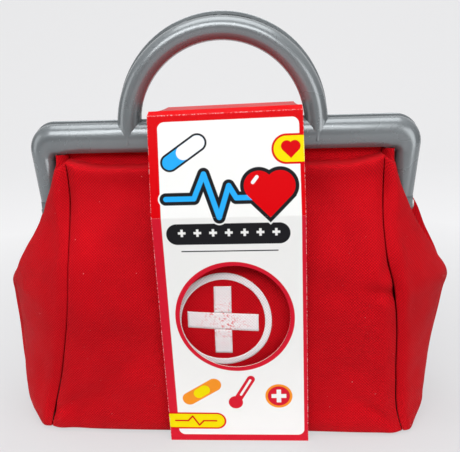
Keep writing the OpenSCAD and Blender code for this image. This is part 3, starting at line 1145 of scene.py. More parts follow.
@dataclass
class FrameHalf:
    """One moulded half of the frame: bar, arms, arch handle and hinge ears.

    Attributes:
        side: Front or back.
        bar_top, bar_bottom: Heights of the bar's edges.
        corner, corner_r: Middle and radius of the frame's outer corner, in X and Z.
        inner, inner_r: The same for the corner below the bar.
        arm_w, arm_lean, arm_end: Width of an arm, its lean in degrees and its lower end.
        handle_z, handle_r, handle_w, handle_wall: The arch's middle, outer radius, width and wall.
        handle_cells, cells_from, cells_to: Hollows in its back, and the degrees they lie between.
        rib: Degrees between two hollows.
        stations: X of the bar's sections.
        arm_shares: Shares of an arm's length at its sections.
        leg_feet: Drop below the arch's middle, width and depth of the sections at its feet.
        gap: Distance from the parting plane to the half.
        depth, wall_h: A rail's depth and the height of its straight wall.
        fullness, chamfer: How full its rounded face is, and the chamfer at its back edges.
        cell_depth: Depth of a hollow.
        slot_half, slot_depth, slot_top: Half width, depth and upper edge of the hem's slot.
        over: How far a cut runs past the surface.
        hinge_z, ear_r, ear_w, pin_r: Height of the hinge, and sizes of the ears and the pin hole.
        bore: How far the pin hole runs inwards and outwards from the back ears' inner face.
        front_ear_x, back_ear_x: X of the ears' inner faces.
        back_bar_rise, back_handle_rise: How much higher the back half's bar and handle stand.
        sharp: Degrees past which an edge looks sharp.
    """

    side: Side
    bar_top: float = 200.0
    bar_bottom: float = 179.5
    corner: Point = (109.0, 184.0)
    corner_r: float = 16.0
    inner: Point = (107.34, 176.5)
    inner_r: float = 3.0
    arm_w: float = 14.0
    arm_lean: float = 5.0
    arm_end: float = 149.9
    handle_z: float = 195.5
    handle_r: float = 67.0
    handle_w: float = 14.5
    handle_wall: float = 2.2
    handle_cells: int = 8
    cells_from: float = 12.0
    cells_to: float = 168.0
    rib: float = 2.0
    stations: Point = (0.0, 30.0, 60.0, 90.0)
    arm_shares: Point = (0.15, 0.4, 0.7, 1.0)
    leg_feet: tuple[Point, ...] = ((3.0, 13.5, 9.6), (6.0, 10.0, 9.65), (9.5, 5.0, 9.55))
    gap: float = 0.5
    depth: float = 9.5
    wall_h: float = 2.0
    fullness: float = 2.05
    chamfer: float = 0.45
    cell_depth: float = 5.4
    slot_half: float = 103.0
    slot_depth: float = 6.6
    slot_top: float = 196.0
    over: float = 5.0
    hinge_z: float = 143.0
    ear_r: float = 6.0
    ear_w: float = 5.2
    pin_r: float = 2.05
    bore: Point = (4.0, 16.0)
    front_ear_x: float = 116.27
    back_ear_x: float = 110.67
    back_bar_rise: float = 1.5
    back_handle_rise: float = 3.0
    sharp: float = 38.0

    @property
    def bar_rise(self) -> float:
        """How much higher this half's bar stands than the front's."""
        return self.back_bar_rise if self.side is Side.BACK else 0.0

    @property
    def hub(self) -> Point:
        """The middle of the arch handle, as X and Z."""
        rise = self.back_handle_rise if self.side is Side.BACK else 0.0
        return 0.0, self.handle_z + rise

    def section(self, width: float, depth: float) -> list[Point]:
        """A rail's section: places across it, and depths in front of the parting face.

        Args:
            width: The rail's width.
            depth: Its depth at the middle.

        Returns:
            The points of the closed section.
        """
        half = width / 2
        points = [(self.chamfer, 0.0), (0.0, self.chamfer)]
        for angle in range(0, 181, 9):
            across = math.cos(math.radians(angle))
            rise = (1 - abs(across) ** self.fullness) ** (1 / self.fullness)
            points.append((half - half * across, self.wall_h + (depth - self.wall_h) * rise))
        return points + [(width, self.chamfer), (width - self.chamfer, 0.0)]

    def sweep(self, ribs: Sequence[tuple[Point, Point, float]]) -> Form:
        """A rail through ribs.

        Args:
            ribs: For each, its two edge points in X and Z, and its depth.

        Returns:
            The solid.
        """
        rings = []
        for outer, inner, depth in ribs:
            outer, inner = np.array(outer), np.array(inner)
            width = float(np.hypot(*(inner - outer)))
            ring = []
            for across, deep in self.section(width, depth):
                x, z = outer + (inner - outer) * across / width
                ring.append((x, -self.gap - deep, z))
            rings.append(ring)
        form = Form()
        form.tube(np.array(rings))
        return form

    def rail(self) -> Form:
        """The bar with its rounded corners and both leaning arms.

        Returns:
            The solid.
        """
        rise = self.bar_rise
        lean = math.radians(self.arm_lean)
        corner = (self.corner[0], self.corner[1] + rise)
        inner = (self.inner[0], self.inner[1] + rise)
        edge = (
            corner[0] + self.corner_r / math.cos(lean)
            - (corner[1] - self.arm_end) * math.tan(lean)
        )
        outers = [(x, self.bar_top + rise) for x in self.stations]
        inners = [(x, self.bar_bottom + rise) for x in self.stations]
        outers += arc(corner, self.corner_r, 90, -self.arm_lean, 16)
        inners += arc(inner, self.inner_r, 90, -self.arm_lean, 16)
        arm_w = self.arm_w / math.cos(lean)
        for rim, foot in ((outers, edge), (inners, edge - arm_w)):
            x, z = rim[-1]
            rim += [(x + (foot - x) * k, z + (self.arm_end - z) * k) for k in self.arm_shares]
        right = [(a, b, self.depth) for a, b in zip(outers, inners)]
        left = [((-a[0], a[1]), (-b[0], b[1]), depth) for a, b, depth in right[:0:-1]]
        return self.sweep(left + right)

    def handle(self) -> Form:
        """The arch handle, whose legs run down over the bar as narrowing ridges.

        Returns:
            The solid.
        """
        inner_r = self.handle_r - self.handle_w
        outers = arc(self.hub, self.handle_r, 0, 180, 48)
        inners = arc(self.hub, inner_r, 0, 180, 48)
        ribs = [(a, b, self.depth) for a, b in zip(outers, inners)]
        middle = (self.handle_r + inner_r) / 2
        for drop, width, depth in self.leg_feet:
            z = self.hub[1] - drop
            low = ((middle + width / 2, z), (middle - width / 2, z), depth)
            ribs.insert(0, low)
            ribs.append(((-low[0][0], z), (-low[1][0], z), depth))
        return self.sweep(ribs)

    def cells(self) -> Form:
        """What the handle's hollow back takes away, one block for each cell.

        Returns:
            The blocks.
        """
        form = Form()
        low = self.handle_r - self.handle_w + self.handle_wall
        high = self.handle_r - self.handle_wall
        step = (self.cells_to - self.cells_from) / self.handle_cells
        for cell in range(self.handle_cells):
            start = self.cells_from + cell * step + self.rib / 2
            end = self.cells_from + (cell + 1) * step - self.rib / 2
            ring = arc(self.hub, high, start, end, 8) + arc(self.hub, low, end, start, 8)
            face = form.face([(x, self.gap, z) for x, z in ring])
            form.deepen(face, (0, -self.gap * 2 - self.cell_depth, 0))
        return form

    def slot(self) -> Form:
        """The slot that the cloth's hem is clamped in, open behind and below.

        Returns:
            What the slot takes away.
        """
        form = Form()
        low = (-self.slot_half, -self.slot_depth, self.bar_bottom - self.over)
        form.box(low, (self.slot_half, self.over, self.slot_top))
        return form

    def ears(self) -> Form:
        """Both round hinge ears with their tongues, before they are bored.

        Returns:
            The two ears.
        """
        form = Form()
        start = self.front_ear_x if self.side is Side.FRONT else self.back_ear_x
        hinge = (0.0, self.hinge_z)
        ring = arc(hinge, self.ear_r, 0, -180, 15)
        ring += [(-self.ear_r, self.arm_end), (-self.gap, self.arm_end)]
        ring += arc(hinge, self.ear_r, 85, 1, 7)
        for hand in Hand:
            face = form.face([(hand.value * start, y, z) for y, z in ring])
            form.deepen(face, (hand.value * self.ear_w, 0, 0))
        return form

    def bores(self) -> Form:
        """The pin holes through both ears.

        Returns:
            What the holes take away.
        """
        form = Form()
        inward, outward = self.bore
        for hand in Hand:
            start = (hand.value * (self.back_ear_x - inward), 0, self.hinge_z)
            end = (hand.value * (self.back_ear_x + outward), 0, self.hinge_z)
            form.rod(start, end, self.pin_r, 24)
        return form

    def build(self, plastic: bpy.types.Material) -> None:
        """Builds the half.

        Args:
            plastic: Its material.
        """
        name = f"{self.side.word}_moulding"
        piece = self.rail().to_object(name, [plastic])
        combine(piece, self.handle().to_object("handle", [plastic]), Combining.JOIN)
        combine(piece, self.cells().to_object("handle_cells", []), Combining.CUT)
        combine(piece, self.slot().to_object("hem_slot", []), Combining.CUT)
        ears = self.ears().to_object("hinge_ears", [plastic])
        combine(ears, self.bores().to_object("pin_bores", []), Combining.CUT)
        joined = Form()
        joined.mesh.from_mesh(piece.data)
        joined.mesh.from_mesh(ears.data)
        bpy.data.objects.remove(ears)
        if self.side is Side.BACK:
            bmesh.ops.scale(joined.mesh, verts=joined.mesh.verts, vec=(1, -1, 1))
            bmesh.ops.reverse_faces(joined.mesh, faces=joined.mesh.faces)
        joined.mesh.to_mesh(piece.data)
        joined.mesh.free()
        piece.data.shade_smooth()
        piece.data.set_sharp_from_angle(angle=math.radians(self.sharp))
        even = piece.modifiers.new("Shading", "WEIGHTED_NORMAL")
        even.keep_sharp = True
        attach(piece, self.side.body)
        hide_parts(f"{self.side.word}_frame", f"{self.side.word}_hinge_ears")
        report(piece)


# ---------------------------------------------------------------- the cloth bag


@dataclass(frozen=True)
class Crease:
    """A soft fold or hollow in the cloth, seen from the front.

    Attributes:
        x, z: Its middle.
        lean: Degrees that it runs away from level.
        length, width: Distances along and across it at which it fades.
        depth: How far its middle lies inwards.
    """

    x: float
    z: float
    lean: float
    length: float
    width: float
    depth: float

    def push(self, x: np.ndarray, z: np.ndarray) -> np.ndarray:
        """How far the crease moves the cloth.

        Args:
            x: X of the places.
            z: Z of the places.

        Returns:
            The inward move at each place.
        """
        turn = math.radians(self.lean)
        along = (x - self.x) * math.cos(turn) + (z - self.z) * math.sin(turn)
        across = (z - self.z) * math.cos(turn) - (x - self.x) * math.sin(turn)
        return self.depth * np.exp(-((along / self.length) ** 2) - (across / self.width) ** 2)


@dataclass
class ClothBag:
    """The red bag: front, back and base, and four gusset halves that fold at the ends.

    A Knots value gives a height and what is wanted at that height.

    Attributes:
        meridian: Y of the front cloth, from its foot over the fold below the bar to its hem.
        left_seam, right_seam: X of the seams.
        left_groove, right_groove: Strength of the groove along each seam.
        crown: How far the middle of a panel stands out.
        left_tip, right_tip: X of the ends, where two gusset halves meet.
        front_fold, back_fold: X of a gusset's folds, above the belly.
        right_flap: How much further out the right gusset's back fold lies.
        fold_depth: Distance of the folds from the middle plane.
        bulge, bulge_share: Swelling of a gusset's outer stretch, and the share its curve reaches.
        face_pulls: Shares of the outer stretch at which its curve is pulled out.
        tip_inset: How far the fold lies inside the tip, at the belly and below.
        tuck_lead, tuck_y: Where the cloth turns in behind the fold, and how deep it lies there.
        middle_y: Where a tucked gusset half ends, beside the middle plane.
        groove_depth, groove_w: Size of a seam's groove.
        roll_h, roll_at, roll_w: Height, place and width of the roll of cloth beside it.
        gusset_top: Height of the gussets' hem.
        fold_lift: How far the fold below the bar rises at the seams.
        fold_reach, gusset_fold_reach: How far from a seam it does, on a panel and a gusset.
        right_foot: How far the front's foot stands out at its right corner.
        foot_facet, facet_depth: Height and slope of the small facet at a bottom corner.
        wrinkles: Scale of the cloth's unevenness along X, Y and Z.
        thickness: Thickness of the cloth.
        panel_columns, panel_crowding: A panel's columns, and how they crowd at the seams.
        face_columns, tuck_columns: Columns of a gusset's outer and inner stretch.
        step, fine_step, fine_from: Spacing of the rows, and the finer one from a height up.
        foot_h, foot_rows: Height of the foot, and its number of rows.
        bend_from, bend_to: Heights, in metres, that mark a band of the cloth; nothing bends it
            there.
        lowest: The lowest row of all its pieces, once they are built.
        creases: Its folds and hollows.
    """

    meridian: Knots = (
        (0.8, -36.6), (1.5, -38.9), (4.5, -40.2), (20, -41.2), (50, -42.8), (97, -43.0),
        (115, -40.0), (128, -34.5), (143, -26.5), (157, -19.8), (164, -18.0), (168, -17.5),
        (170.3, -16.7), (171.6, -14.8), (172.1, -12.0), (172.4, -8.8), (172.8, -5.4),
        (174.0, -2.8), (176.0, -2.3), (180.0, -3.0), (183.0, -5.4), (188, -6.2), (195.2, -6.2),
    )
    left_seam: Knots = (
        (0, -119.4), (17.5, -114.5), (41, -107.5), (64, -102.4), (81, -99), (113, -96.2),
        (142, -96.7), (165, -99), (178, -101), (196, -101.6),
    )
    right_seam: Knots = (
        (0, 114.3), (11, 110.5), (41, 107.8), (85, 105.6), (102, 103.5), (115, 100.2),
        (133, 98.7), (162, 100.3), (178, 101.2), (196, 101.6),
    )
    left_groove: Knots = (
        (0, 1.5), (17, 2.5), (41, 2.2), (64, 1.6), (90, 1.0), (113, 1.2), (142, 2.2),
        (161, 3.0), (170, 2.6), (174.5, 0.5),
    )
    right_groove: Knots = (
        (0, 1.5), (17, 2.8), (41, 3.0), (85, 3.2), (97, 4.5), (115, 3.0), (142, 2.6),
        (161, 3.0), (170, 2.6), (174.5, 0.5),
    )
    crown: Knots = (
        (0, 2.4), (15, 3.4), (100, 3.6), (128, 2.8), (150, 1.2), (165, 0.3), (178, 0),
    )
    left_tip: Knots = (
        (0.8, 145.0), (4, 147.6), (11, 148.6), (36, 149.9), (61, 149.7), (85, 150.4),
        (96, 150.3), (100, 147.9), (112, 137.0), (122, 124.5), (130, 112.8), (135, 107.2),
        (165, 107.6), (176, 108.4), (183.5, 108.8),
    )
    right_tip: Knots = (
        (0.8, 133.0), (4, 135.6), (11, 136.7), (24, 138.7), (49, 141.3), (73, 145.1),
        (85, 146.8), (96, 149.0), (100, 147.6), (112, 137.5), (122, 125), (130, 112.8),
        (135, 107.2), (165, 107.6), (176, 108.4), (183.5, 108.8),
    )
    front_fold: Knots = (
        (95, 146.6), (99, 145.6), (108, 140.6), (122, 131.6), (131, 125.6), (145, 117.8),
        (160, 111.2), (170, 108.2), (176.5, 106.6), (181, 105.6),
    )
    back_fold: Knots = (
        (95, 146.8), (99, 145.9), (108, 142.4), (120, 137.6), (131, 133.2), (145, 126.6),
        (160, 118.4), (170, 112.4), (176.5, 108.8), (181, 106.8),
    )
    right_flap: Knots = ((97, 0), (108, 1.2), (128, 0.8), (142, 1.4), (152, 0.8), (164, 0))
    fold_depth: Knots = (
        (0, 5.0), (88, 5.0), (100, 6.4), (112, 9.2), (124, 12.0), (136, 13.0), (168, 12.8),
        (173.5, 11.4), (177.5, 8.6), (181, 6.4),
    )
    bulge: Knots = (
        (0, 6.5), (14, 7.5), (40, 6.0), (70, 5.0), (100, 4.0), (130, 3.0), (165, 2.0), (178, 0.4),
    )
    bulge_share: float = 0.75
    face_pulls: Point = (0.30, 0.74)
    tip_inset: float = 3.6
    tuck_lead: Point = (-1.5, 1.4)
    tuck_y: float = -11.4
    middle_y: float = -2.4
    groove_depth: float = 1.2
    groove_w: float = 3.4
    roll_h: float = 0.32
    roll_at: float = 8.0
    roll_w: float = 4.5
    gusset_top: float = 180.9
    fold_lift: float = 5.0
    fold_reach: float = 24.0
    gusset_fold_reach: float = 9.0
    right_foot: float = 3.5
    foot_facet: float = 13.0
    facet_depth: float = 0.30
    wrinkles: Point = (0.022, 0.022, 0.03)
    thickness: float = 1.2
    panel_columns: int = 91
    panel_crowding: float = 0.28
    face_columns: int = 23
    tuck_columns: int = 10
    step: float = 2.8
    fine_step: float = 0.9
    fine_from: float = 158.0
    foot_h: float = 5.0
    foot_rows: int = 6
    bend_from: float = 0.134
    bend_to: float = 0.170
    lowest: np.ndarray = field(default_factory=lambda: np.zeros((0, 3)))
    creases: tuple[Crease, ...] = (
        Crease(-112, 15.5, 33, 20, 2.6, 2.6),
        Crease(-80, 30, 48, 32, 8, 2.8),
        Crease(-96, 62, 84, 30, 7, 0.9),
        Crease(100, 96, -12, 11, 3.2, 4.6),
        Crease(97, 107, 68, 12, 3.4, 2.0),
        Crease(88, 88, -30, 26, 7, 1.1),
        Crease(76, 118, -62, 32, 6, 1.0),
        Crease(66, 60, 70, 30, 7, 0.9),
        Crease(-62, 128, 62, 30, 8, 1.1),
        Crease(-78, 92, -64, 34, 8, 0.8),
        Crease(62, 150, -48, 26, 7, 1.2),
        Crease(0, 150, 2, 80, 9, 0.8),
        Crease(96, 16, -36, 20, 3.0, 2.2),
    )

    def rows(self) -> tuple[np.ndarray, np.ndarray, np.ndarray]:
        """The meridian in even steps, finer below the bar.

        Returns:
            Each row's height, its depth and its length along the cloth.
        """
        knots = np.array(self.meridian)
        chord = walked(knots)
        dense = np.linspace(0, chord[-1], 4000)
        z = through(tuple(zip(chord, knots[:, 0])), dense)
        y = through(tuple(zip(chord, knots[:, 1])), dense)
        length = walked(np.column_stack([z, y]))
        turn = length[np.searchsorted(z, self.fine_from)]
        foot = np.linspace(0, self.foot_h, self.foot_rows, endpoint=False)
        low = np.linspace(0, turn, round(turn / self.step), endpoint=False)
        high = np.linspace(turn, length[-1], round((length[-1] - turn) / self.fine_step))
        at = np.concatenate([foot, low[low > self.foot_h], high])
        return np.interp(at, length, z), np.interp(at, length, y), at

    def seam_shape(self, away: np.ndarray) -> np.ndarray:
        """The seam's section: a groove with the cloth rolled up beside it.

        Args:
            away: Distances from the seam.

        Returns:
            The inward move at each distance, for a groove of strength 1.
        """
        groove = np.exp(-((away / self.groove_w) ** 1.6)) * self.groove_depth
        roll = np.exp(-(((away - self.roll_at) / self.roll_w) ** 2)) * self.roll_h
        return groove - roll

    def seam_lift(self, z: np.ndarray) -> np.ndarray:
        """How far the fold under the bar rises at the seams."""
        return self.fold_lift * smooth_step(158, 171.5, z) * (1 - smooth_step(172.6, 176.5, z))

    def foot_out(self, x: np.ndarray, z: np.ndarray) -> np.ndarray:
        """How far the foot of the front stands out towards its right corner."""
        return self.right_foot * smooth_step(30, 110, x) * (1 - smooth_step(0, 45, z))

    def loose(self, z: np.ndarray) -> np.ndarray:
        """How freely the cloth wrinkles: not at its foot, and not below the bar."""
        return (smooth_step(2, 14, z) * (1 - smooth_step(150, 174, z)))[:, None]

    def roughness(self, points: np.ndarray, amount: float, seed: float) -> np.ndarray:
        """Small uneven moves of the cloth, the same on each run.

        Args:
            points: Places as rows, columns and X, Y, Z.
            amount: The largest move, about.
            seed: Which pattern to take.

        Returns:
            One move for each place.
        """
        moves = np.zeros(points.shape[:2])
        along_x, along_y, along_z = self.wrinkles
        for index in np.ndindex(moves.shape):
            x, y, z = points[index]
            spot = Vector((x * along_x, y * along_y + seed, z * along_z))
            moves[index] = noise.fractal(spot, 1.0, 2.1, 3)
        return moves * amount

    def panel(self, side: Side) -> tuple[np.ndarray, np.ndarray]:
        """The front or back cloth between its two seams.

        Args:
            side: Which of the two.

        Returns:
            Its places, and its UV in millimetres.
        """
        z, y, length = self.rows()
        count, crowding = self.panel_columns, self.panel_crowding
        spread = np.linspace(-1, 1, count)
        spread = (1 - crowding) * spread + crowding * np.sin(spread * math.pi / 2)
        left, right = through(self.left_seam, z), through(self.right_seam, z)
        x = left[:, None] + (spread[None, :] + 1) / 2 * (right - left)[:, None]
        heights = np.repeat(z[:, None], count, axis=1)
        depth = np.repeat(y[:, None], count, axis=1)
        depth -= through(self.crown, z)[:, None] * (1 - spread**2)[None, :]
        for groove, edge in ((self.left_groove, left), (self.right_groove, right)):
            away = np.abs(x - edge[:, None])
            depth += through(groove, z)[:, None] * self.seam_shape(away)
            near = np.clip(1 - away / self.fold_reach, 0, 1) ** 1.5
            heights += self.seam_lift(z)[:, None] * near
        if side is Side.FRONT:
            depth -= self.foot_out(x, heights)
            soft = 1 - smooth_step(160, 172, z)
            for crease in self.creases:
                depth += crease.push(x, heights) * soft[:, None]
        points = np.stack([x, depth, heights], axis=2)
        inside = smooth_step(0, 10, np.minimum(x - left[:, None], right[:, None] - x))
        points[:, :, 1] += self.roughness(points, 1.5, side.value * 5.0) * self.loose(z) * inside
        points[:, :, 1] *= -side.value
        flat = np.stack([x, np.repeat(length[:, None], count, axis=1)], axis=2)
        return points, flat

    def gusset(self, hand: Hand, side: Side) -> tuple[np.ndarray, np.ndarray]:
        """One half of an end cloth, from its seam over the fold to the middle.

        Args:
            hand: Which end.
            side: Its front or back half.

        Returns:
            Its places, and its UV in millimetres.
        """
        z, y, length = self.rows()
        keep = z <= self.gusset_top
        z, y, length = z[keep], y[keep], length[keep]
        left = hand is Hand.LEFT
        seam = abs(through(self.left_seam if left else self.right_seam, z))
        groove = through(self.left_groove if left else self.right_groove, z)
        tip = through(self.left_tip if left else self.right_tip, z)
        fold = through(self.front_fold if side is Side.FRONT else self.back_fold, z)
        if hand is Hand.RIGHT and side is Side.FRONT:
            y = y - self.foot_out(seam, z)
        if hand is Hand.RIGHT and side is Side.BACK:
            fold = fold + through(self.right_flap, z)
        low = 1 - smooth_step(93, 98, z)
        fold = fold * (1 - low) + (tip - self.tip_inset) * low
        tuck = smooth_step(95, 134, z)
        swell = through(self.bulge, z) / self.bulge_share
        starts = np.column_stack([seam, y])
        ridges = np.column_stack([fold, -through(self.fold_depth, z)])
        ends = np.column_stack([tip, self.middle_y * smooth_step(134, 140, z)])
        lifts = self.seam_lift(z)
        places, flats = [], []
        for k in range(len(z)):
            face, inner = self.row(starts[k], ridges[k], ends[k], swell[k], tuck[k])
            face[:, 1] += groove[k] * self.seam_shape(walked(face))
            path = np.concatenate([face, inner])
            walk = walked(path)
            near = np.clip(1 - walk / self.gusset_fold_reach, 0, 1) ** 1.5
            places.append(np.column_stack([path, z[k] + lifts[k] * near]))
            flats.append(np.column_stack([walk, np.full(len(walk), length[k])]))
        points, flat = self.corner_tuck(np.array(places)), np.array(flats)
        columns = np.linspace(0, 1, points.shape[1])
        inside = (smooth_step(0.0, 0.2, columns) * (1 - smooth_step(0.75, 1, columns)))[None, :]
        seed = hand.value * 3.0 + side.value * 7.0
        moves = self.roughness(points, 1.8, seed) * self.loose(z) * inside
        points[:, :, 0] += moves * 0.6
        points[:, :, 1] -= moves * 0.7
        points[:, :, 0] *= hand.value
        points[:, :, 1] *= -side.value
        return points, flat

    def row(
        self, start: np.ndarray, ridge: np.ndarray, end: np.ndarray, swell: float, tuck: float
    ) -> tuple[np.ndarray, np.ndarray]:
        """One row of a gusset half, seen from above.

        Args:
            start: X and Y at the seam.
            ridge: X and Y at the edge of the fold.
            end: X and Y in the middle of the gusset.
            swell: How far the outer stretch bulges.
            tuck: How far the inner stretch lies tucked behind the outer one, from 0 to 1.

        Returns:
            The outer stretch, from the seam to the fold, and the inner one from there on.
        """
        run = ridge - start
        out = np.array([run[1], -run[0]]) / np.hypot(*run)
        pulls = [start + run * share + out * swell for share in self.face_pulls]
        face = bezier((start, *pulls, ridge), np.linspace(0, 1, self.face_columns))
        lead = ridge + (end - ridge) / 3 * (1 - tuck) + np.array(self.tuck_lead) * tuck
        last_open = ridge + (end - ridge) * 2 / 3
        last_tucked = np.array([end[0] + 0.6, min(self.tuck_y, ridge[1] + self.tuck_lead[1])])
        last = last_open * (1 - tuck) + last_tucked * tuck
        inner = bezier((ridge, lead, last, end), np.linspace(0, 1, self.tuck_columns)[1:])
        return face, inner

    def corner_tuck(self, points: np.ndarray) -> np.ndarray:
        """Turns in the small facet below the crease at a bottom corner.

        Args:
            points: Places of a gusset half.

        Returns:
            The places with the facet in them.
        """
        height = np.clip(self.foot_facet - points[:, :, 2], 0, self.foot_facet)
        columns = np.linspace(0, 1, points.shape[1])[None, :]
        share = smooth_step(0.05, 0.35, columns) * (1 - smooth_step(0.55, 0.95, columns))
        depth = height * self.facet_depth * share
        points[:, :, 0] -= depth * 0.7
        points[:, :, 1] += depth * 0.7
        return points

    def build(self, cloth: bpy.types.Material) -> bpy.types.Object:
        """Builds all cloth pieces.

        Args:
            cloth: Their material.

        Returns:
            The front cloth, which carries the emblem.
        """
        edges: list[np.ndarray] = []
        pieces: dict[Side, bpy.types.Object] = {}
        for side in Side:
            points, flat = self.panel(side)
            nodes = [f"{side.word}_panel_lower", f"{side.word}_panel_upper"]
            sheet = Form.of_sheet(points, flat, (0, side.value, 0))
            pieces[side] = self.hang(sheet, f"{side.word}_cloth", cloth, side, nodes)
            edges.append(points[0])
            for hand in Hand:
                points, flat = self.gusset(hand, side)
                nodes = [f"{hand.word}_gusset_lower", f"{hand.word}_gusset_{side.word}_upper"]
                sheet = Form.of_sheet(points, flat, (hand.value, side.value, 0))
                self.hang(sheet, f"{hand.word}_gusset_{side.word}_cloth", cloth, side, nodes)
                edges.append(points[0])
        self.lowest = np.concatenate(edges)
        self.base(cloth)
        return pieces[Side.FRONT]

    def hang(
        self, sheet: Form, name: str, cloth: bpy.types.Material, side: Side, nodes: Sequence[str]
    ) -> bpy.types.Object:
        """Makes a cloth piece with its thickness, in place of its CAD nodes.

        Args:
            sheet: The cloth without its thickness.
            name: The piece's name.
            cloth: Its material.
            side: The half that it is clamped in.
            nodes: The CAD nodes that it stands for.

        Returns:
            The piece.
        """
        piece = sheet.to_object(name, [cloth])
        thicken(piece, self.thickness, 1)
        start, end = (0, 0, self.bend_from), (0, 0, self.bend_to)
        side.body
        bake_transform(piece)
        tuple(start)
        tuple(end)
        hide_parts(*nodes)
        report(piece)
        return piece

    def base(self, cloth: bpy.types.Material) -> None:
        """Builds the flat bottom inside the lowest row of the other pieces.

        Args:
            cloth: Its material.
        """
        spots = self.lowest
        turn = np.argsort(np.arctan2(spots[:, 1], spots[:, 0]))
        level = float(spots[:, 2].min())
        form = Form()
        form.face([(*spots[k, :2], level) for k in turn])
        form.weld(0.05)
        for found in form.mesh.faces:
            for loop in found.loops:
                loop[form.uv].uv = loop.vert.co.xy
        bmesh.ops.triangulate(form.mesh, faces=list(form.mesh.faces))
        form.mesh.normal_update()
        if sum(found.normal.z for found in form.mesh.faces) > 0:
            bmesh.ops.reverse_faces(form.mesh, faces=form.mesh.faces)
        piece = form.to_object("base_cloth", [cloth])
        thicken(piece, self.thickness)
        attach(piece, "bag")
        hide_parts("base_panel")
        report(piece)


@dataclass
class BaseBoard:
    """The stiff board that keeps the bottom flat, cut to the cloth's own outline.

    Attributes:
        low: Height of its underside.
        thickness: Its thickness.
        room: Gap between its rim and the cloth's outline.
        edge_r: Radius of its rounded rim.
    """

    low: float = 2.5
    thickness: float = 2.0
    room: float = 2.2
    edge_r: float = 0.5

    def build(self, board: bpy.types.Material, outline: np.ndarray) -> None:
        """Builds the board.

        Args:
            board: Its material.
            outline: Places round the bottom of the cloth.
        """
        middle = outline[:, :2].mean(axis=0)
        away = outline[:, :2] - middle
        reach = np.hypot(away[:, 0], away[:, 1])
        spots = middle + away * ((reach - self.room) / reach)[:, None]
        turn = np.argsort(np.arctan2(away[:, 1], away[:, 0]))[::3]
        form = Form()
        face = form.face([(*spots[k], self.low) for k in turn])
        form.deepen(face, (0, 0, self.thickness))
        form.weld(0.05)
        rims = [
            edge for edge in form.mesh.edges
            if abs(edge.verts[0].co.z - edge.verts[1].co.z) < 0.01
        ]
        form.round_off(rims, self.edge_r, 2)
        piece = form.to_object("stiff_board", [board], 40)
        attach(piece, "bag")
        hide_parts("base_board")
        report(piece)


@dataclass
class Emblem:
    """The printed ring with a plain cross in it.

    Attributes:
        ring_r, ring_w, ring_steps: The ring's outer radius, width and number of steps.
        span, arm: Span of the cross and width of its bars.
        level_tilt, upright_tilt: Degrees that its bars are drawn askew.
        ink: How far the print's face stands off the cloth.
        cell: Size of the print's grid.
    """

    ring_r: float = 29.5
    ring_w: float = 4.0
    ring_steps: int = 120
    span: float = 43.0
    arm: float = 10.5
    level_tilt: float = 3.4
    upright_tilt: float = 0.68
    ink: float = 0.12
    cell: float = 1.3

    def bar(self, form: Form, low: Point, high: Point, tilt: float) -> None:
        """Adds one bar of the cross as a fine grid in X and Z.

        Args:
            form: The print so far.
            low: Its lowest corner as X and Z.
            high: Its highest corner.
            tilt: Degrees that it leans.
        """
        columns = max(2, round((high[0] - low[0]) / self.cell))
        rows = max(2, round((high[1] - low[1]) / self.cell))
        across, up = np.linspace(low[0], high[0], columns), np.linspace(low[1], high[1], rows)
        x, z = np.meshgrid(across, up)
        lean = math.tan(math.radians(tilt))
        points = np.stack([x, np.zeros_like(x), z - x * lean + EMBLEM_Z], axis=2)
        form.sheet(points, points[:, :, [0, 2]], (0, -1, 0))

    def form(self) -> Form:
        """The flat print, before it lies on the cloth.

        Returns:
            The print.
        """
        form = Form()
        half, arm = self.span / 2, self.arm / 2
        self.bar(form, (-half, -arm), (half, arm), self.level_tilt)
        self.bar(form, (-arm, arm), (arm, half), self.upright_tilt)
        self.bar(form, (-arm, -half), (arm, -arm), self.upright_tilt)
        turns = np.linspace(0, 2 * math.pi, self.ring_steps + 1)
        radii = np.linspace(self.ring_r - self.ring_w, self.ring_r, 5)
        x = radii[:, None] * np.sin(turns)[None, :]
        z = radii[:, None] * np.cos(turns)[None, :] + EMBLEM_Z
        points = np.stack([x, np.zeros_like(x), z], axis=2)
        form.sheet(points, points[:, :, [0, 2]], (0, -1, 0))
        form.weld()
        return form

    def build(self, ink: bpy.types.Material, cloth: bpy.types.Object) -> None:
        """Lays the print on the front cloth.

        Args:
            ink: Its material.
            cloth: The front cloth.
        """
        form = self.form()
        graph = bpy.context.evaluated_depsgraph_get()
        ground = BVHTree.FromObject(cloth, graph)
        for vert in form.mesh.verts:
            hit = ground.ray_cast(vert.co * MM - Vector((0, 0.2, 0)), Vector((0, 1, 0)))[0]
            vert.co.y = hit.y / MM - self.ink
        piece = form.to_object("printed_emblem", [ink])
        thicken(piece, self.ink * 0.8)
        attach(piece, "bag")
        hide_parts("emblem_print")
        report(piece)


# ---------------------------------------------------------------- the card sleeve


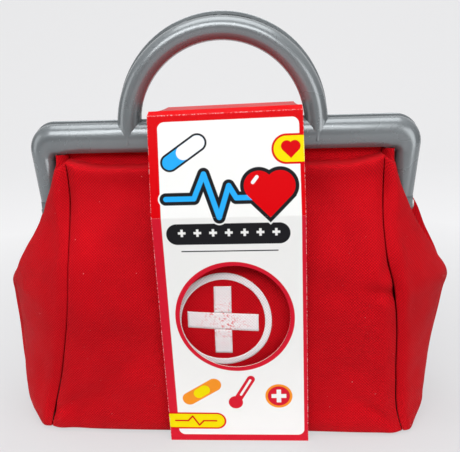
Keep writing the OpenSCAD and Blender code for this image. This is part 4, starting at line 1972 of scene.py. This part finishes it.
@dataclass
class CardSleeve:
    """The printed card that goes round the bag, with a round window in front.

    Attributes:
        card: Thickness of the card.
        foot: Half its depth on the floor.
        crease, brow, top: Half its depth and the height at its creases.
        top_x, drift: X of its middle line at the brow, and how it moves for each mm below.
        bow: How far its faces bow outwards.
        sag: How far its top sags in the middle.
        slump: How much lower its left edge stands at the top.
        fold_w: Width of a crease on each side.
        steps: Rows along each face.
        columns: Columns across the card.
        cut_y: Y where the window's cut starts and ends.
        sharp: Degrees past which an edge looks sharp.
    """

    card: float = 0.5
    foot: float = 49.3
    crease: Point = (54.3, 149.0)
    brow: Point = (42.0, 207.0)
    top: Point = (36.0, 209.4)
    top_x: float = 3.95
    drift: float = 0.02
    bow: float = 0.8
    sag: float = 1.6
    slump: float = 1.9
    fold_w: float = 0.5
    steps: tuple[int, ...] = (44, 18, 3, 24, 3, 18, 44, 30)
    columns: int = 27
    cut_y: Point = (-70.0, -40.0)
    sharp: float = 25.0

    def path(self) -> tuple[np.ndarray, np.ndarray]:
        """The card's outer outline, finer beside each crease.

        Returns:
            Its places in Y and Z, and the length along it from the front foot.
        """
        front = [(-self.foot, 0.0), (-self.crease[0], self.crease[1])]
        front += [(-self.brow[0], self.brow[1]), (-self.top[0], self.top[1])]
        corners = np.array(front + [(-y, z) for y, z in reversed(front)] + [front[0]])
        points, lengths, so_far = [], [], 0.0
        for start, end, count in zip(corners, corners[1:], self.steps):
            run = float(np.hypot(*(end - start)))
            ease = self.fold_w / run
            share = np.concatenate([[0, ease], np.linspace(ease, 1 - ease, count)[1:]])
            points.append(start + share[:, None] * (end - start))
            lengths.append(so_far + share * run)
            so_far += run
        points.append(corners[-1:])
        lengths.append(np.array([so_far]))
        return np.concatenate(points), np.concatenate(lengths)

    def sheet(self) -> Form:
        """The closed band of card.

        Returns:
            The band without its thickness, its faces outwards.
        """
        path, length = self.path()
        across = np.linspace(-CARD_W / 2, CARD_W / 2, self.columns)
        y = np.repeat(path[:, :1], len(across), axis=1)
        z = np.repeat(path[:, 1:], len(across), axis=1)
        x = self.top_x + (self.brow[1] - z) * self.drift + across[None, :]
        level = np.clip(1 - (2 * across / CARD_W) ** 2, 0, 1)[None, :]
        slump = (0.5 - across / CARD_W)[None, :] * self.slump
        upright = np.clip(np.sin(np.clip(z / self.crease[1], 0, 1) * math.pi), 0, 1)
        y += np.sign(y) * (np.abs(y) > self.top[0] + 6) * upright * level * self.bow
        middle = np.clip(1 - (y / self.top[0]) ** 2, 0, 1) * (z > self.brow[1])
        z = z - middle * self.sag * (0.6 + 0.4 * level) - slump * (z / self.top[1]) ** 4
        points = np.stack([x, y, z], axis=2)
        s = np.repeat(across[None, :], len(path), axis=0)
        t = np.repeat(length[:, None], len(across), axis=1)
        form = Form.of_sheet(points, np.stack([s, t], axis=2), (0, 0, 0))
        form.weld(0.001)
        bmesh.ops.recalc_face_normals(form.mesh, faces=form.mesh.faces)
        lowest = min(form.mesh.faces, key=lambda face: face.calc_center_median().z)
        if lowest.normal.z > 0:
            bmesh.ops.reverse_faces(form.mesh, faces=form.mesh.faces)
        return form

    def build(self, printed: bpy.types.Material, bare: bpy.types.Material) -> None:
        """Builds the sleeve.

        Args:
            printed: The material of its outside.
            bare: The material of its inside and edges.
        """
        piece = self.sheet().to_object("card_sleeve", [printed, bare])
        wall = piece.modifiers.new("Card", "SOLIDIFY")
        wall.thickness = self.card * MM
        wall.offset = -1
        wall.material_offset = 1
        wall.material_offset_rim = 1
        bake(piece)
        s, t, radius = WINDOW
        middle_x = self.top_x + (self.brow[1] - t) * self.drift + s
        hole = Form()
        hole.rod((middle_x, self.cut_y[0], t), (middle_x, self.cut_y[1], t), radius, 128)
        for face in hole.mesh.faces:
            face.material_index = 1
        combine(piece, hole.to_object("window_cut", [printed, bare]), Combining.CUT)
        piece.data.shade_smooth()
        piece.data.set_sharp_from_angle(angle=math.radians(self.sharp))
        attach(piece, "bag")
        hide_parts("sleeve_front", "sleeve_top", "sleeve_back", "sleeve_bottom")
        report(piece)


# ---------------------------------------------------------------- hidden hardware


@dataclass
class Hardware:
    """The CAD's own pins, screws and strips, with their finishes."""

    steel: bpy.types.Material
    screw: bpy.types.Material
    strip: bpy.types.Material

    def dress(self, nodes: dict[str, bpy.types.Object]) -> None:
        """Gives each kept CAD node its material.

        Args:
            nodes: The CAD model's nodes by name.
        """
        kinds = {"_hinge_pin": self.steel, "_screws": self.screw, "_retainer": self.strip}
        for name, node in nodes.items():
            for ending, finish in kinds.items():
                if name.endswith(ending):
                    node.data.materials.clear()
                    node.data.materials.append(finish)
                    log.info("%s dressed", name)


# ---------------------------------------------------------------- studio


@dataclass(frozen=True)
class SoftBox:
    """A large soft lamp.

    Attributes:
        name: Its name.
        place, aim: Where it hangs, and the spot that it faces.
        size: Its width and height.
        power: Its power in watts.
        colour: Its colour.
    """

    name: str
    place: Point
    aim: Point
    size: Point
    power: float
    colour: Colour = (1.0, 1.0, 1.0)

    def make(self) -> None:
        """Hangs the lamp."""
        data = bpy.data.lights.new(self.name, "AREA")
        data.shape = "RECTANGLE"
        data.size, data.size_y = self.size[0] * MM, self.size[1] * MM
        data.energy = self.power
        data.color = self.colour
        lamp = bpy.data.objects.new(self.name, data)
        lamp.location = Vector(self.place) * MM
        way = (Vector(self.aim) - Vector(self.place)).to_track_quat("-Z", "Y")
        lamp.rotation_euler = way.to_euler()
        bpy.context.scene.collection.objects.link(lamp)


@dataclass
class Studio:
    """Camera, lamps, world and floor.

    Attributes:
        eye: Place of the camera.
        focal: Its focal length in pixels of the photograph.
        yaw, pitch, roll: How it is turned, in degrees; pitch is downwards.
        sensor: Width of its sensor.
        horizon, zenith, full_height: The world's strength low and high, and where it is full.
        sky, backdrop: The world's light, and the colour that the camera sees.
        near_edge: Y of the floor's front edge.
        bend_start, bend_r: Where the floor starts to curve up, and its radius.
        wall_top: Height of the wall behind.
        half_w: Half the floor's width.
        lamps: The soft boxes.
    """

    eye: Point = (21.66, -347.56, 219.14)
    focal: float = 534.62
    yaw: float = -3.04
    pitch: float = 14.42
    roll: float = -1.59
    sensor: float = 36.0
    horizon: float = 0.10
    zenith: float = 0.50
    full_height: float = 0.8
    sky: Colour = (0.97, 0.98, 1.0)
    backdrop: Colour = (0.80, 0.80, 0.81)
    near_edge: float = -2500.0
    bend_start: float = 1300.0
    bend_r: float = 900.0
    wall_top: float = 3200.0
    half_w: float = 3500.0
    lamps: tuple[SoftBox, ...] = (
        SoftBox("top_front", (-100, -690, 680), (0, 0, 160), (760, 300), 4.9),
        SoftBox("overhead", (0, -40, 1000), (0, 0, 120), (900, 600), 5.6),
        SoftBox("left_fill", (-950, -420, 400), (0, 0, 110), (500, 600), 1.5),
        SoftBox("right_fill", (720, -780, 330), (20, 0, 100), (500, 600), 3.2),
    )

    def camera(self) -> None:
        """Sets the camera where the photograph was taken from."""
        yaw, pitch, roll = (math.radians(a) for a in (self.yaw, self.pitch, self.roll))
        level = Vector((math.sin(yaw), math.cos(yaw), 0))
        ahead = level * math.cos(pitch) - Vector((0, 0, math.sin(pitch)))
        right = Vector((math.cos(yaw), -math.sin(yaw), 0))
        up = right.cross(ahead)
        turned = right * math.cos(roll) + up * math.sin(roll)
        up = up * math.cos(roll) - right * math.sin(roll)
        data = bpy.data.cameras.new("photo_camera")
        data.sensor_fit = "HORIZONTAL"
        data.sensor_width = self.sensor
        data.lens = self.focal * self.sensor / PHOTO_WIDTH
        data.clip_start = 0.01
        eye = bpy.data.objects.new("photo_camera", data)
        axes = Matrix((turned, up, -ahead)).transposed().to_4x4()
        eye.matrix_world = Matrix.Translation(Vector(self.eye) * MM) @ axes
        bpy.context.scene.collection.objects.link(eye)
        bpy.context.scene.camera = eye

    def world(self) -> None:
        """A world that lights softly from above, and that the camera sees as pale grey."""
        shader = Shader(bpy.data.worlds.new("studio_world"))
        place = shader.node("ShaderNodeTexCoord", {}, {}, "Generated")
        height = shader.node("ShaderNodeSeparateXYZ", {}, {0: place}, "Z")
        climb = {
            "Value": height, "From Min": 0.0, "From Max": self.full_height,
            "To Min": self.horizon, "To Max": self.zenith,
        }
        strength = shader.node("ShaderNodeMapRange", {}, climb, "Result")
        lit = {"Color": self.sky, "Strength": strength}
        light = shader.node("ShaderNodeBackground", {}, lit)
        shown = shader.node("ShaderNodeBackground", {}, {"Color": self.backdrop})
        seen = shader.node("ShaderNodeLightPath", {}, {}, "Is Camera Ray")
        both = shader.node("ShaderNodeMixShader", {}, {0: seen, 1: light, 2: shown})
        shader.node("ShaderNodeOutputWorld", {}, {"Surface": both})
        bpy.context.scene.world = shader.made

    def floor(self) -> None:
        """Lays the floor and curves it up behind the bag."""
        turns = np.radians(np.linspace(0, 90, 16))
        bend_y = self.bend_start + self.bend_r * np.sin(turns)
        bend_z = self.bend_r - self.bend_r * np.cos(turns)
        y = np.concatenate([[self.near_edge, -250, 0, 900], bend_y, bend_y[-1:]])
        z = np.concatenate([[0, 0, 0, 0], bend_z, [self.wall_top]])
        x = np.linspace(-self.half_w, self.half_w, 9)
        points = np.zeros((len(y), len(x), 3))
        points[:, :, 0] = x[None, :]
        points[:, :, 1] = y[:, None]
        points[:, :, 2] = z[:, None]
        form = Form.of_sheet(points, points[:, :, :2], (0, 0, 1))
        piece = form.to_object("studio_floor", [PaleSweep().make()])

    def build(self) -> None:
        """Sets up the whole studio."""
        self.camera()
        self.world()
        self.floor()
        for lamp in self.lamps:
            lamp.make()
        bpy.context.scene.view_settings.view_transform = "Standard"


def main() -> None:
    """Builds the scene."""
    logging.basicConfig(level=logging.INFO, format="%(name)s: %(message)s")
    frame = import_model()
    Studio().build()
    plastic = MouldedPlastic().make()
    for side in Side:
        FrameHalf(side).build(plastic)
    bag = ClothBag()
    front_cloth = bag.build(WovenCloth().make())
    BaseBoard().build(GreyBoard().make(), bag.lowest)
    Emblem().build(WornInk().make(), front_cloth)
    CardSleeve().build(PrintedCard().make(), BareCard().make())
    steel = BareMetal().make()
    screw = BareMetal("screw_steel", (0.50, 0.50, 0.49)).make()
    dark_plastic = MouldedPlastic("retainer_plastic", (0.12, 0.12, 0.125), (0.08, 0.08, 0.085), 0.5)
    Hardware(steel, screw, dark_plastic.make()).dress(frame["nodes"])


if __name__ == "__main__":
    main()
